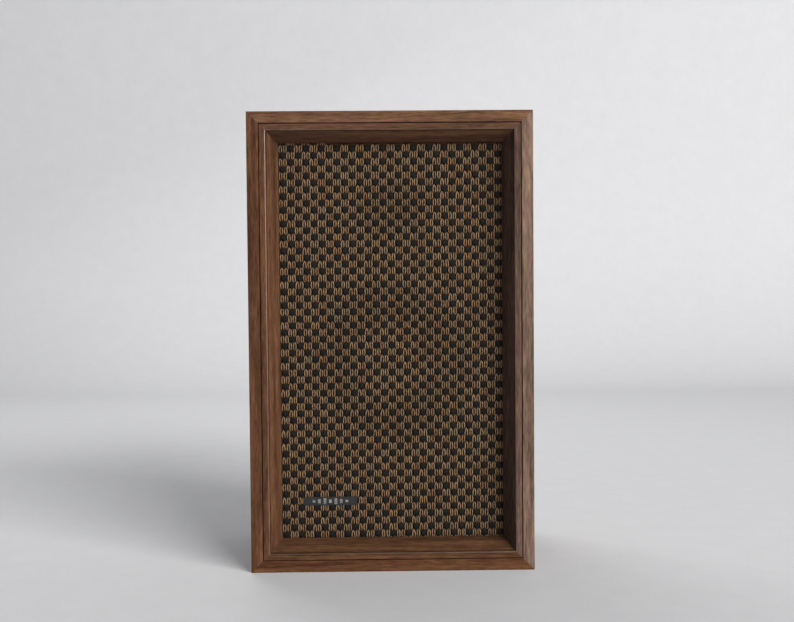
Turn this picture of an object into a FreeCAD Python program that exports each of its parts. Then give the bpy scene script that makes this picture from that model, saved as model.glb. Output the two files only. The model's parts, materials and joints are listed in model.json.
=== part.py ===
"""A compact two-way bookshelf loudspeaker with a walnut case and a framed cloth grille.

Millimetres. +Z is up and the grille faces -Y. The origin is the centre of the footprint, at table height.
"""

import FreeCAD, Part
import math
import os
from types import SimpleNamespace

import Sketcher

doc = FreeCAD.newDocument("bookshelf_speaker")
sheet = doc.addObject("Spreadsheet::Sheet", "Sizes")
nodes = []


# ---------------------------------------------------------------- lengths and their formulas


class Size:
    """A number together with the formula that ties it to the sheet's cells."""

    def __init__(self, value, formula):
        self.value = value
        self.formula = formula

    def __add__(self, other):
        return combine(self, "+", other)

    def __radd__(self, other):
        return combine(other, "+", self)

    def __sub__(self, other):
        return combine(self, "-", other)

    def __rsub__(self, other):
        return combine(other, "-", self)

    def __mul__(self, other):
        return combine(self, "*", other)

    def __rmul__(self, other):
        return combine(other, "*", self)

    def __truediv__(self, other):
        return combine(self, "/", other)

    def __neg__(self):
        return combine(0, "-", self)


def size(number):
    """A plain number as a Size, and a Size as it is."""
    if isinstance(number, Size):
        return number
    return Size(float(number), f"{float(number):.6f}")


def combine(left, sign, right):
    """The Size that left and right give together."""
    left = size(left)
    right = size(right)
    values = {
        "+": left.value + right.value,
        "-": left.value - right.value,
        "*": left.value * right.value,
        "/": left.value / right.value if right.value else math.inf,
    }
    return Size(values[sign], f"({left.formula} {sign} {right.formula})")


def cells(prefix, **numbers):
    """Add driving dimensions to the sheet, and return them as Sizes by name."""
    group = SimpleNamespace()
    for name, number in numbers.items():
        row = len(sheet.getUsedCells()) // 2 + 1
        alias = f"{prefix}_{name}"
        sheet.set(f"A{row}", alias.replace("_", " "))
        sheet.set(f"B{row}", str(number))
        sheet.setAlias(f"B{row}", alias)
        setattr(group, name, Size(float(number), f"Sizes.{alias}"))
    return group


case = cells("case", width=204, height=330, depth=130, wall=8.3, edge_round=0.5)
frame = cells(
    "frame",
    gap=0.6,
    edge_round=0.4,
    face=3.7,
    bead=1.1,
    quirk=0.4,
    reach=12.0,
    depth=17.6,
    foot=0.8,
    hollow=70,
)
cloth = cells("cloth", thick=0.8, hem=14, margin=0.9)
board = cells("board", thick=4)
baffle = cells("baffle", front=30, thick=12)
batten = cells("batten", side=12)
back = cells("back", thick=6, recess=6, clearance=0.4)
badge = cells(
    "badge",
    width=39,
    height=6.2,
    thick=1.0,
    x=-45.6,
    z=48,
    bar_wide=2.0,
    bar_step=4.0,
    bar_tall=4.4,
    bar_thick=0.3,
)
peg = cells("peg", radius=3, reach=13.5, flange=7, flange_thick=2, clearance=0.06, x=69, z_low=44, z_high=296)
socket = cells("socket", radius=5, flange=7.5, flange_thick=1.5)
screw = cells("screw", radius=1.7, head=3.2, head_thick=1.6)
brad = cells("brad", radius=0.7, head=1.5, head_thick=0.6)
staple = cells("staple", crown=9, wire=0.6, inset=2.5)
woofer = cells(
    "woofer",
    z=150.5,
    hole=56.5,
    flange=65,
    sheet=1.2,
    wall=55.8,
    wall_deep=6,
    ledge=40,
    ledge_deep=28.2,
    pot=36.2,
    motor=38,
    screw_ring=61.5,
    gasket=58,
    gasket_thick=2,
    lip=54,
    lip_thick=0.6,
    edge_drop=3.6,
    paper=0.8,
    rim=47,
    neck=12.8,
    cone_deep=21.5,
    cap=14.5,
    cap_rise=6.2,
    former=12.5,
    coil=13.3,
    pole=11.9,
    plate_bore=13.9,
    plate=34,
    plate_thick=4,
    magnet_bore=17,
    magnet=35,
    magnet_thick=10,
    yoke=33,
    yoke_thick=4.5,
)
tweeter = cells(
    "tweeter",
    z=262,
    hole=22.5,
    flange=32,
    sheet=1.0,
    wall=22,
    wall_deep=9,
    pot=16,
    motor=15,
    screw_ring=28,
    gasket=24.5,
    gasket_thick=1.5,
    lip=20.6,
    lip_thick=0.5,
    edge_drop=0.6,
    paper=0.6,
    rim=18.5,
    neck=6.5,
    cone_deep=8,
    cap=7.8,
    cap_rise=3.4,
    former=6.2,
    coil=6.8,
    pole=5.7,
    plate_bore=7.3,
    plate=19,
    plate_thick=3,
    magnet_bore=9.5,
    magnet=20,
    magnet_thick=7,
    yoke=19,
    yoke_thick=3,
)
terminal = cells(
    "terminal",
    z=70,
    width=66,
    height=40,
    lip=2.5,
    body_width=50,
    body_height=30,
    body_deep=18,
    slot_x=12,
    slot_width=12,
    slot_deep=12,
    slot_low=-0.5,
    slot_high=12.5,
    pivot_z=9.5,
    pivot_deep=5,
    pin=1.2,
    pin_clearance=0.06,
    wire=1.6,
    wire_z=-6,
    wire_deep=14,
    lever_thick=5,
    lever_long=8.6,
    side_play=0.3,
    pin_end=1.5,
    tab_lift=2,
    tab_reach=5.4,
    tab_high=3.2,
)
contact = cells("contact", width=5, thick=0.8, z=-2.8, tail=6)
tag = cells("tag", width=3, thick=0.8, long=7, x=5, play=0.1)
wadding = cells("wadding", width=120, height=92, thick=22, z=256)
capacitor = cells("capacitor", radius=8, length=32, x=50, z=112, strap=0.8, strap_width=8)
lead = cells("lead", radius=0.9)

doc.recompute()


# ---------------------------------------------------------------- building helpers


def bind(obj, name, length):
    """Tie a property of obj to a length's formula."""
    obj.setExpression(name, size(length).formula)


def place(obj, x, y, z):
    """Put obj at x, y, z, tied to their formulas."""
    for axis, length in zip("xyz", (x, y, z)):
        bind(obj, f"Placement.Base.{axis}", length)


def turn(obj, axis, degrees):
    """Turn obj about one of its own axes."""
    obj.Placement.Rotation = FreeCAD.Rotation(axis, degrees)


def node(obj, label):
    """Name obj as one of the finished pieces."""
    obj.Label = label
    nodes.append(obj)
    return obj


def behind(depth):
    """The Y of a plane that lies depth behind the case's front edge."""
    return depth - case.depth / 2


def new_body(name):
    return doc.addObject("PartDesign::Body", name + "_body")


def new_sketch(body, plane):
    """An empty sketch on one of the body's own origin planes."""
    sketch = body.newObject("Sketcher::SketchObject", body.Name + "_sketch")
    origin_plane = next(feature for feature in body.Origin.OriginFeatures if feature.Role == plane)
    sketch.AttachmentSupport = [(origin_plane, "")]
    sketch.MapMode = "FlatFace"
    return sketch


def hold_point(sketch, edge, end, corner):
    """Hold one end of an edge at a corner, measured from the sketch's origin."""
    for kind, axis, length in (("DistanceX", -2, size(corner[0])), ("DistanceY", -1, size(corner[1]))):
        if abs(length.value) < 1e-9:
            sketch.addConstraint(Sketcher.Constraint("PointOnObject", edge, end, axis))
        else:
            index = sketch.addConstraint(Sketcher.Constraint(kind, -1, 1, edge, end, length.value))
            sketch.setExpression(f"Constraints[{index}]", length.formula)


def point_of(corner):
    return FreeCAD.Vector(size(corner[0]).value, size(corner[1]).value, 0)


def arc_through(start, end, radius):
    """The short arc from start to end, its centre on the left of the way for a positive radius."""
    chord = end - start
    left = FreeCAD.Vector(-chord.y, chord.x, 0).normalize()
    side = math.copysign(1, radius)
    reach = math.sqrt(max(radius**2 - (chord.Length / 2) ** 2, 0))
    crown = (start + end) * 0.5 + left * side * (reach - abs(radius))
    return Part.Arc(start, crown, end)


def add_outline(sketch, corners):
    """A closed outline. A corner is (x, y), or (x, y, radius) where an arc arrives at it."""
    edges = []
    for index, corner in enumerate(corners):
        start = point_of(corners[index - 1])
        end = point_of(corner)
        if len(corner) == 3:
            edge = sketch.addGeometry(arc_through(start, end, corner[2].value))
            radius = corner[2] if corner[2].value > 0 else -corner[2]
            bend = sketch.addConstraint(Sketcher.Constraint("Radius", edge, radius.value))
            sketch.setExpression(f"Constraints[{bend}]", radius.formula)
        else:
            edge = sketch.addGeometry(Part.LineSegment(start, end))
        to_first, to_last = (sketch.getPoint(edge, which).distanceToPoint(start) for which in (1, 2))
        forward = to_first < to_last
        edges.append((edge, 1, 2) if forward else (edge, 2, 1))
    for index, corner in enumerate(corners):
        edge, _, arrival = edges[index]
        following, departure, _ = edges[(index + 1) % len(edges)]
        sketch.addConstraint(Sketcher.Constraint("Coincident", edge, arrival, following, departure))
        hold_point(sketch, edge, arrival, corner)


def add_circle(sketch, x, y, radius):
    """A full circle about (x, y)."""
    edge = sketch.addGeometry(Part.Circle(point_of((x, y)), FreeCAD.Vector(0, 0, 1), size(radius).value))
    bend = sketch.addConstraint(Sketcher.Constraint("Radius", edge, size(radius).value))
    sketch.setExpression(f"Constraints[{bend}]", size(radius).formula)
    hold_point(sketch, edge, 3, (x, y))


def rectangle(x, z, width, height):
    """The corners of an upright rectangle centred on (x, z)."""
    return [
        (x - width / 2, z - height / 2),
        (x + width / 2, z - height / 2),
        (x + width / 2, z + height / 2),
        (x - width / 2, z + height / 2),
    ]


def slab(name, outline, thick, front, holes=(), windows=()):
    """A flat piece: an outline in X and Z, solid from its front face towards +Y."""
    body = new_body(name)
    sketch = new_sketch(body, "XZ_Plane")
    add_outline(sketch, outline)
    for hole in holes:
        add_circle(sketch, *hole)
    for window in windows:
        add_outline(sketch, window)
    pad = body.newObject("PartDesign::Pad", name + "_pad")
    pad.Profile = sketch
    pad.Reversed = True
    bind(pad, "Length", thick)
    place(body, 0, front, 0)
    return body


def turned(name, outline, x=0, y=0, z=0):
    """A round piece: an outline of radius and depth, turned about its own Y axis."""
    body = new_body(name)
    sketch = new_sketch(body, "XY_Plane")
    add_outline(sketch, outline)
    spin = body.newObject("PartDesign::Revolution", name + "_turn")
    spin.Profile = sketch
    spin.ReferenceAxis = (sketch, ["V_Axis"])
    spin.Angle = 360
    place(body, x, y, z)
    return body


def tube(name, inner, outer, start, end, x=0, y=0, z=0):
    """A ring or tube about Y, from start to end along its axis."""
    return turned(name, [(inner, start), (outer, start), (outer, end), (inner, end)], x, y, z)


def block(name, low, high):
    """A rectangular piece between two corners."""
    obj = doc.addObject("Part::Box", name)
    for side, start, end in zip(("Length", "Width", "Height"), low, high):
        bind(obj, side, end - start)
    place(obj, *low)
    return obj


def cylinder(name, radius, length, x, y, z, axis=(0, 0, 1)):
    """A round bar that starts at x, y, z and runs along an axis."""
    obj = doc.addObject("Part::Cylinder", name)
    bind(obj, "Radius", radius)
    bind(obj, "Height", length)
    obj.Placement.Rotation = FreeCAD.Rotation(FreeCAD.Vector(0, 0, 1), FreeCAD.Vector(*axis))
    place(obj, x, y, z)
    return obj


def group(label, members):
    """Several separate solids that share one node."""
    compound = doc.addObject("Part::Compound", label)
    compound.Links = members
    return node(compound, label)


def repeated(label, pattern, spots):
    """One node of identical pieces: the pattern, standing at each spot."""
    copies = []
    for number, spot in enumerate(spots):
        copy = doc.addObject("App::Link", f"{label}_{number}")
        copy.LinkedObject = pattern
        copy.LinkTransform = False
        copy.Placement.Rotation = pattern.Placement.Rotation
        place(copy, *spot)
        copies.append(copy)
    return group(label, copies)


def minus(name, base, tools):
    """The base with every tool taken away."""
    for number, tool in enumerate(tools):
        cut = doc.addObject("Part::Cut", f"{name}_cut_{number}")
        cut.Base = base
        cut.Tool = tool
        base = cut
    return base


def plus(name, members):
    """Several shapes joined into one solid."""
    joined = doc.addObject("Part::MultiFuse", name)
    joined.Shapes = members
    joined.Refine = True
    return joined


def around(ring, count, start_degrees, z):
    """Spots evenly round a circle in X and Z, centred on height z."""
    angles = [math.radians(start_degrees + 360 * step / count) for step in range(count)]
    return [(ring * math.cos(angle), z + ring * math.sin(angle)) for angle in angles]


# ---------------------------------------------------------------- case


inner_width = case.width - 2 * case.wall
inner_height = case.height - 2 * case.wall
BACK_FRONT = case.depth - back.recess - back.thick


def cabinet_board(label, outer_start, outer_end):
    """A case board, mitred at both ends. Its outer edge runs from one case corner to the next."""
    (x0, z0), (x1, z1) = outer_start, outer_end
    along_x = size(z0).value == size(z1).value
    shift = case.wall
    if along_x:
        inward = shift if size(z0).value == 0 else -shift
        corners = [(x0, z0), (x1, z1), (x1 - shift, z1 + inward), (x0 + shift, z0 + inward)]
    else:
        inward = shift if size(x0).value < 0 else -shift
        corners = [(x0, z0), (x1, z1), (x1 + inward, z1 - shift), (x0 + inward, z0 + shift)]
    board_body = slab(label, corners, case.depth, behind(0))
    round_edges_along(board_body, FreeCAD.Vector(1, 0, 0) if along_x else FreeCAD.Vector(0, 0, 1))
    node(board_body, label)


def round_edges_along(body, direction):
    """Soften every edge of the body that runs in one direction."""
    doc.recompute()
    base = body.Tip
    names = []
    for number, edge in enumerate(base.Shape.Edges, 1):
        if abs(edge.tangentAt(edge.FirstParameter).dot(direction)) > 0.999:
            names.append(f"Edge{number}")
    rounding = body.newObject("PartDesign::Fillet", body.Name + "_rounding")
    rounding.Base = (base, names)
    bind(rounding, "Radius", case.edge_round)


def cabinet():
    left = -case.width / 2
    right = case.width / 2
    floor = size(0)
    top = case.height
    cabinet_board("cabinet_bottom", (left, floor), (right, floor))
    cabinet_board("cabinet_top", (left, top), (right, top))
    cabinet_board("cabinet_left", (left, floor), (left, top))
    cabinet_board("cabinet_right", (right, floor), (right, top))


def battens(place_name, front):
    """Four strips glued round the inside of the case."""
    side = batten.side
    half = inner_width / 2
    low = case.wall
    high = case.height - case.wall
    near = behind(front)
    far = behind(front + side)
    strips = {
        "bottom": ((-half, near, low), (half, far, low + side)),
        "top": ((-half, near, high - side), (half, far, high)),
        "left": ((-half, near, low + side), (-half + side, far, high - side)),
        "right": ((half - side, near, low + side), (half, far, high - side)),
    }
    for name, (start, end) in strips.items():
        label = f"{place_name}_batten_{name}"
        node(block(label, start, end), label)


PEG_SPOTS = [(x, z) for x in (-peg.x, peg.x) for z in (peg.z_low, peg.z_high)]


def front_baffle():
    """The board that carries both drive units, with sockets for the grille's pegs."""
    holes = [(0, woofer.z, woofer.hole), (0, tweeter.z, tweeter.hole)]
    holes += [(x, z, socket.radius) for x, z in PEG_SPOTS]
    for unit, start in ((woofer, 45), (tweeter, 0)):
        holes += [(x, z, screw.radius) for x, z in around(unit.screw_ring, 4, start, unit.z)]
    outline = rectangle(size(0), case.height / 2, inner_width, inner_height)
    node(slab("front_baffle", outline, baffle.thick, behind(baffle.front), holes), "front_baffle")


def peg_sockets():
    bore = peg.radius + peg.clearance
    outline = [
        (bore, -socket.flange_thick),
        (socket.flange, -socket.flange_thick),
        (socket.flange, 0),
        (socket.radius, 0),
        (socket.radius, baffle.thick),
        (bore, baffle.thick),
    ]
    pattern = turned("socket_pattern", outline)
    repeated("peg_sockets", pattern, [(x, behind(baffle.front), z) for x, z in PEG_SPOTS])


def back_screw_spots():
    """Two screws on each side and on each end of the back panel, over the battens."""
    x = inner_width / 2 - batten.side / 2
    low = case.wall + batten.side / 2
    high = case.height - case.wall - batten.side / 2
    third = (high - low) / 3
    sides = [(side * x, low + third * step) for side in (-1, 1) for step in (0, 1, 2, 3)]
    return sides + [(size(0), low), (size(0), high)]


def back_panel():
    outline = rectangle(
        size(0), case.height / 2, inner_width - 2 * back.clearance, inner_height - 2 * back.clearance
    )
    window = rectangle(size(0), terminal.z, terminal.body_width, terminal.body_height)
    holes = [(x, z, screw.radius) for x, z in back_screw_spots()]
    holes += [(x, terminal.z, screw.radius) for x in TERMINAL_SCREW_XS]
    node(slab("back_panel", outline, back.thick, behind(BACK_FRONT), holes, [window]), "back_panel")


def screw_pattern(name, length, towards):
    """A pan-head wood screw with its head's underside at its origin, pointing along Y."""
    flat = screw.head * 0.6
    shoulder = screw.head_thick * 0.4
    outline = [
        (0, -towards * screw.head_thick),
        (flat, -towards * screw.head_thick),
        (screw.head, -towards * shoulder),
        (screw.head, 0),
        (screw.radius, 0),
        (screw.radius, towards * (length - screw.radius)),
        (0, towards * length),
    ]
    return turned(name, outline)


def back_panel_screws():
    pattern = screw_pattern("back_screw_pattern", back.thick, -1)
    rear_face = behind(BACK_FRONT + back.thick)
    repeated("back_panel_screws", pattern, [(x, rear_face, z) for x, z in back_screw_spots()])


# ---------------------------------------------------------------- terminals


TERMINAL_SCREW_XS = [side * (terminal.width / 2 - 4) for side in (-1, 1)]
TERMINAL_REAR = BACK_FRONT + back.thick + terminal.lip
SLOT_XS = {"red": terminal.slot_x, "black": -terminal.slot_x}


def contact_strip(name, colour, tail):
    """The room that a contact takes: from its slot to this far out of the block's inner face."""
    rear = behind(TERMINAL_REAR)
    x = SLOT_XS[colour]
    z = terminal.z + contact.z
    low = (x - contact.width / 2, rear - terminal.body_deep - tail, z - contact.thick / 2)
    high = (x + contact.width / 2, rear - terminal.slot_deep, z + contact.thick / 2)
    return block(name, low, high)


def terminal_housing():
    """The moulded terminal block: a lip outside the back panel and a body through it."""
    rear = behind(TERMINAL_REAR)
    lip = block(
        "terminal_lip",
        (-terminal.width / 2, rear - terminal.lip, terminal.z - terminal.height / 2),
        (terminal.width / 2, rear, terminal.z + terminal.height / 2),
    )
    body = block(
        "terminal_box",
        (-terminal.body_width / 2, rear - terminal.body_deep, terminal.z - terminal.body_height / 2),
        (terminal.body_width / 2, rear - terminal.lip / 2, terminal.z + terminal.body_height / 2),
    )
    cuts = []
    for colour, x in SLOT_XS.items():
        slot_low = (x - terminal.slot_width / 2, rear - terminal.slot_deep, terminal.z + terminal.slot_low)
        slot_high = (x + terminal.slot_width / 2, rear + 1, terminal.z + terminal.slot_high)
        cuts.append(block(f"slot_{colour}", slot_low, slot_high))
        start = rear - terminal.wire_deep
        wire_hole = (terminal.wire, terminal.wire_deep + 1, x, start, terminal.z + terminal.wire_z)
        cuts.append(cylinder(f"wire_hole_{colour}", *wire_hole, axis=(0, 1, 0)))
    pin_bore = terminal.pin + terminal.pin_clearance
    pin_reach = terminal.slot_x + terminal.slot_width / 2 + 2
    pin_start = (-pin_reach, rear - terminal.pivot_deep, terminal.z + terminal.pivot_z)
    cuts.append(cylinder("lever_pin_bore", pin_bore, 2 * pin_reach, *pin_start, axis=(1, 0, 0)))
    for number, x in enumerate(TERMINAL_SCREW_XS):
        hole = (screw.radius, terminal.lip + 2, x, rear - terminal.lip - 1, terminal.z)
        cuts.append(cylinder(f"terminal_screw_hole_{number}", *hole, axis=(0, 1, 0)))
    for colour in SLOT_XS:
        cuts.append(contact_strip(f"contact_slit_{colour}", colour, size(1)))
    whole = plus("terminal_moulding", [lip, body])
    node(minus("terminal_housing", whole, cuts), "terminal_housing")


def terminal_lever(colour):
    """A push lever on a moulded pin. Its tab stands proud of the slot so that a thumb can press it."""
    x = SLOT_XS[colour]
    half = terminal.slot_width / 2 - terminal.side_play
    pivot_z = terminal.z + terminal.pivot_z
    pivot_y = behind(TERMINAL_REAR - terminal.pivot_deep)
    inner = pivot_y - terminal.lever_thick / 2
    outer = pivot_y + terminal.lever_thick / 2
    low = pivot_z - terminal.lever_long
    plate = block(f"lever_plate_{colour}", (x - half, inner, low), (x + half, outer, pivot_z))
    tab_low = low + terminal.tab_lift
    tab_top = tab_low + terminal.tab_high
    tab_end = (x + half, outer + terminal.tab_reach, tab_top)
    tab = block(f"lever_tab_{colour}", (x - half, outer - 1, tab_low), tab_end)
    barrel_bar = (terminal.lever_thick / 2, 2 * half, x - half, pivot_y, pivot_z)
    barrel = cylinder(f"lever_barrel_{colour}", *barrel_bar, axis=(1, 0, 0))
    pin_half = terminal.slot_width / 2 + terminal.pin_end
    pin_bar = (terminal.pin, 2 * pin_half, x - pin_half, pivot_y, pivot_z)
    pin = cylinder(f"lever_pin_{colour}", *pin_bar, axis=(1, 0, 0))
    label = f"terminal_lever_{colour}"
    node(plus(label, [plate, tab, barrel, pin]), label)


def terminal_contacts():
    """A flat brass spring strip behind each lever, leaving the block as a solder tag."""
    strips = [contact_strip(f"contact_{colour}", colour, contact.tail) for colour in SLOT_XS]
    group("terminal_contacts", strips)


def terminal_screws():
    pattern = screw_pattern("terminal_screw_pattern", terminal.lip + back.thick, -1)
    rear = behind(TERMINAL_REAR)
    repeated("terminal_screws", pattern, [(x, rear, terminal.z) for x in TERMINAL_SCREW_XS])


# ---------------------------------------------------------------- drive units


def basket(name, unit):
    """The pressed frame: a flange on the baffle, a wall, and a floor that carries the motor."""
    thin = unit.sheet
    outline = [
        (unit.flange, -thin),
        (unit.flange, 0),
        (unit.wall, 0),
        (unit.wall, unit.wall_deep),
    ]
    if unit is woofer:
        outline += [(unit.ledge, unit.ledge_deep), (unit.pot, unit.ledge_deep)]
    outline += [(unit.pot, unit.motor), (unit.magnet_bore, unit.motor), (unit.magnet_bore, unit.motor - thin)]
    outline += [(unit.pot - thin, unit.motor - thin)]
    if unit is woofer:
        outline += [(unit.pot - thin, unit.ledge_deep - thin)]
        outline += [(unit.ledge - thin / 2, unit.ledge_deep - thin)]
    outline += [(unit.wall - thin, unit.wall_deep - thin / 2), (unit.wall - thin, -thin)]
    body = turned(name, outline, y=behind(baffle.front), z=unit.z)
    doc.recompute()
    return body


def drill_flange(body, unit, start):
    """Four screw holes through the flange, patterned about the unit's axis."""
    sketch = new_sketch(body, "XZ_Plane")
    x, z = around(unit.screw_ring, 4, start, size(0))[0]
    add_circle(sketch, x, z, screw.radius)
    pocket = body.newObject("PartDesign::Pocket", body.Name + "_holes")
    pocket.Profile = sketch
    pocket.Type = "ThroughAll"
    pocket.SideType = "Symmetric"
    pattern_round(body, pocket, 4)


def pattern_round(body, feature, count):
    """Repeat a feature evenly about the body's Y axis."""
    pattern = body.newObject("PartDesign::PolarPattern", feature.Name + "_ring")
    pattern.Originals = [feature]
    pattern.Axis = (next(item for item in body.Origin.OriginFeatures if item.Role == "Y_Axis"), [""])
    pattern.Angle = 360
    pattern.Occurrences = count
    body.Tip = pattern


def vent_basket(body, unit):
    """Six windows in the sloping wall, so that the cone can move air freely."""
    inner = unit.ledge + 2
    outer = unit.wall - 3
    sketch = new_sketch(body, "XZ_Plane")
    add_outline(sketch, rectangle(size(0), (inner + outer) / 2, inner * 0.6, outer - inner))
    pocket = body.newObject("PartDesign::Pocket", body.Name + "_windows")
    pocket.Profile = sketch
    pocket.Type = "ThroughAll"
    pocket.SideType = "Symmetric"
    pattern_round(body, pocket, 6)


def surround(name, unit, pleats):
    """The soft edge: a flat lip on the flange, then pleats that step down to the cone's rim."""
    thick = unit.lip_thick
    top = -unit.sheet - thick
    run = unit.lip - unit.rim
    drop = unit.edge_drop - top
    steps = 2 * pleats
    ripple = 0.35
    upper = []
    for step in range(1, steps):
        share = step / steps
        lift = ripple if step % 2 else -ripple
        upper.append((unit.lip - run * share, top + drop * share - lift))
    inner = (unit.rim, unit.edge_drop)
    front = [(unit.gasket, top), (unit.lip, top)] + upper + [inner]
    rear = [(radius, depth + thick) for radius, depth in reversed(front)]
    node(turned(name, front + rear, y=behind(baffle.front), z=unit.z), name)


def cone(name, unit):
    """A thin paper cone from the surround to the voice coil."""
    outline = [
        (unit.rim, unit.edge_drop),
        (unit.rim, unit.edge_drop + unit.paper),
        (unit.neck, unit.cone_deep + unit.paper),
        (unit.neck, unit.cone_deep),
    ]
    node(turned(name, outline, y=behind(baffle.front), z=unit.z), name)


def dome_radius(radius, rise):
    """The radius of a sphere whose cap is this wide and this high."""
    return (radius * radius + rise * rise) / (2 * rise)


def dust_cap(name, unit):
    """A domed paper cap glued to the front of the cone."""
    slope = (unit.cone_deep - unit.edge_drop) / (unit.rim - unit.neck)
    foot = unit.edge_drop + (unit.rim - unit.cap) * slope
    thick = unit.paper
    glue = 0.02
    inner_foot = foot + thick * slope - glue
    inner_radius = dome_radius(unit.cap - thick, inner_foot - foot + unit.cap_rise - thick)
    outline = [
        (0, foot - unit.cap_rise),
        (unit.cap, foot - glue, dome_radius(unit.cap, unit.cap_rise - glue)),
        (unit.cap - thick, inner_foot),
        (0, foot - unit.cap_rise + thick, -inner_radius),
    ]
    node(turned(name, outline, y=behind(baffle.front), z=unit.z), name)


def voice_coil(name, unit):
    """The former, glued to the cone's neck, with its winding in the magnet's gap."""
    gap_start = unit.motor
    gap_end = unit.motor + unit.plate_thick
    overhang = unit.plate_thick / 2
    outline = [
        (unit.former, unit.cone_deep - 0.5),
        (unit.neck, unit.cone_deep - 0.5),
        (unit.neck, gap_start - overhang),
        (unit.coil, gap_start - overhang),
        (unit.coil, gap_end + overhang),
        (unit.former, gap_end + overhang),
    ]
    node(turned(name, outline, y=behind(baffle.front), z=unit.z), name)


def motor(name, unit):
    """Top plate, ring magnet and yoke, one behind the other."""
    y = behind(baffle.front)
    start = unit.motor
    middle = start + unit.plate_thick
    end = middle + unit.magnet_thick
    plate = tube(f"{name}_top_plate", unit.plate_bore, unit.plate, start, middle, y=y, z=unit.z)
    node(plate, f"{name}_top_plate")
    magnet = tube(f"{name}_magnet", unit.magnet_bore, unit.magnet, middle, end, y=y, z=unit.z)
    node(magnet, f"{name}_magnet")
    outline = [
        (0, start - 0.5),
        (unit.pole, start - 0.5),
        (unit.pole, end),
        (unit.yoke, end),
        (unit.yoke, end + unit.yoke_thick),
        (0, end + unit.yoke_thick),
    ]
    node(turned(f"{name}_yoke", outline, y=y, z=unit.z), f"{name}_yoke")


def gasket(name, unit):
    top = -unit.sheet - unit.lip_thick
    ring = tube(name, unit.lip + 1, unit.gasket, top - unit.gasket_thick, top, y=behind(baffle.front), z=unit.z)
    node(ring, name)


def spider():
    """The corrugated disc that centres the woofer's voice coil."""
    thick = 0.6
    rest = woofer.ledge_deep - woofer.sheet
    outer = woofer.ledge - 1.5
    waves = 10
    ripple = 0.7
    front = [(woofer.neck, rest - thick)]
    run = (woofer.pot - woofer.sheet) - woofer.neck
    for wave in range(1, waves):
        lift = ripple if wave % 2 else 0
        front.append((woofer.neck + run * (wave / waves), rest - thick - lift))
    front.append((outer, rest - thick))
    rear = [(radius, depth + thick) for radius, depth in reversed(front)]
    node(turned("woofer_spider", front + rear, y=behind(baffle.front), z=woofer.z), "woofer_spider")


def drive_unit_screws(name, unit, start):
    pattern = screw_pattern(f"{name}_screw_pattern", unit.sheet + baffle.thick, 1)
    y = behind(baffle.front) - unit.sheet
    repeated(f"{name}_screws", pattern, [(x, y, z) for x, z in around(unit.screw_ring, 4, start, unit.z)])


def tag_top(unit):
    """The height at which a drive unit's solder tags meet its frame or magnet."""
    reach = unit.magnet if unit is tweeter else unit.pot
    return unit.z - reach - tag.play


def solder_tags(name, unit, depth):
    """Two tinned tags on the lower side of the frame, where the leads end."""
    tags = []
    top = tag_top(unit)
    for side in (-1, 1):
        x = side * tag.x
        low = (x - tag.width / 2, behind(depth) - tag.thick / 2, top - tag.long)
        high = (x + tag.width / 2, behind(depth) + tag.thick / 2, top)
        tags.append(block(f"{name}_tag_{'left' if side < 0 else 'right'}", low, high))
    group(f"{name}_solder_tags", tags)


WOOFER_TAG_DEPTH = baffle.front + woofer.ledge_deep + 3
TWEETER_TAG_DEPTH = baffle.front + tweeter.motor + 5


def drive_units():
    for name, unit, start in (("woofer", woofer, 45), ("tweeter", tweeter, 0)):
        frame_body = basket(f"{name}_frame", unit)
        if unit is woofer:
            vent_basket(frame_body, unit)
        drill_flange(frame_body, unit, start)
        node(frame_body, f"{name}_frame")
        gasket(f"{name}_gasket", unit)
        surround(f"{name}_surround", unit, 3 if unit is woofer else 1)
        cone(f"{name}_cone", unit)
        dust_cap(f"{name}_dust_cap", unit)
        voice_coil(f"{name}_voice_coil", unit)
        motor(name, unit)
        drive_unit_screws(name, unit, start)
    spider()
    solder_tags("woofer", woofer, WOOFER_TAG_DEPTH)
    solder_tags("tweeter", tweeter, TWEETER_TAG_DEPTH)


# ---------------------------------------------------------------- grille


FRAME_OUT = case.wall + frame.gap
CLOTH_FRONT = frame.depth
BOARD_FRONT = CLOTH_FRONT + cloth.thick
BOARD_REAR = BOARD_FRONT + board.thick
BOARD_INSET = FRAME_OUT + cloth.margin + cloth.thick
BRAD_BITE = size(8)
PIN_XS = [badge.x - badge.width / 2 + 4, badge.x + badge.width / 2 - 4]


def brad_spots():
    """Brads through the board into the moulding: two on each end and three on each side."""
    inset = FRAME_OUT + frame.reach / 2
    x = case.width / 2 - inset
    low = inset
    high = case.height - inset
    span = high - low
    sides = [(side * x, low + span * share) for side in (-1, 1) for share in (0.15, 0.5, 0.85)]
    ends = [(side * x / 2, z) for side in (-1, 1) for z in (low, high)]
    return sides + ends


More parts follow.
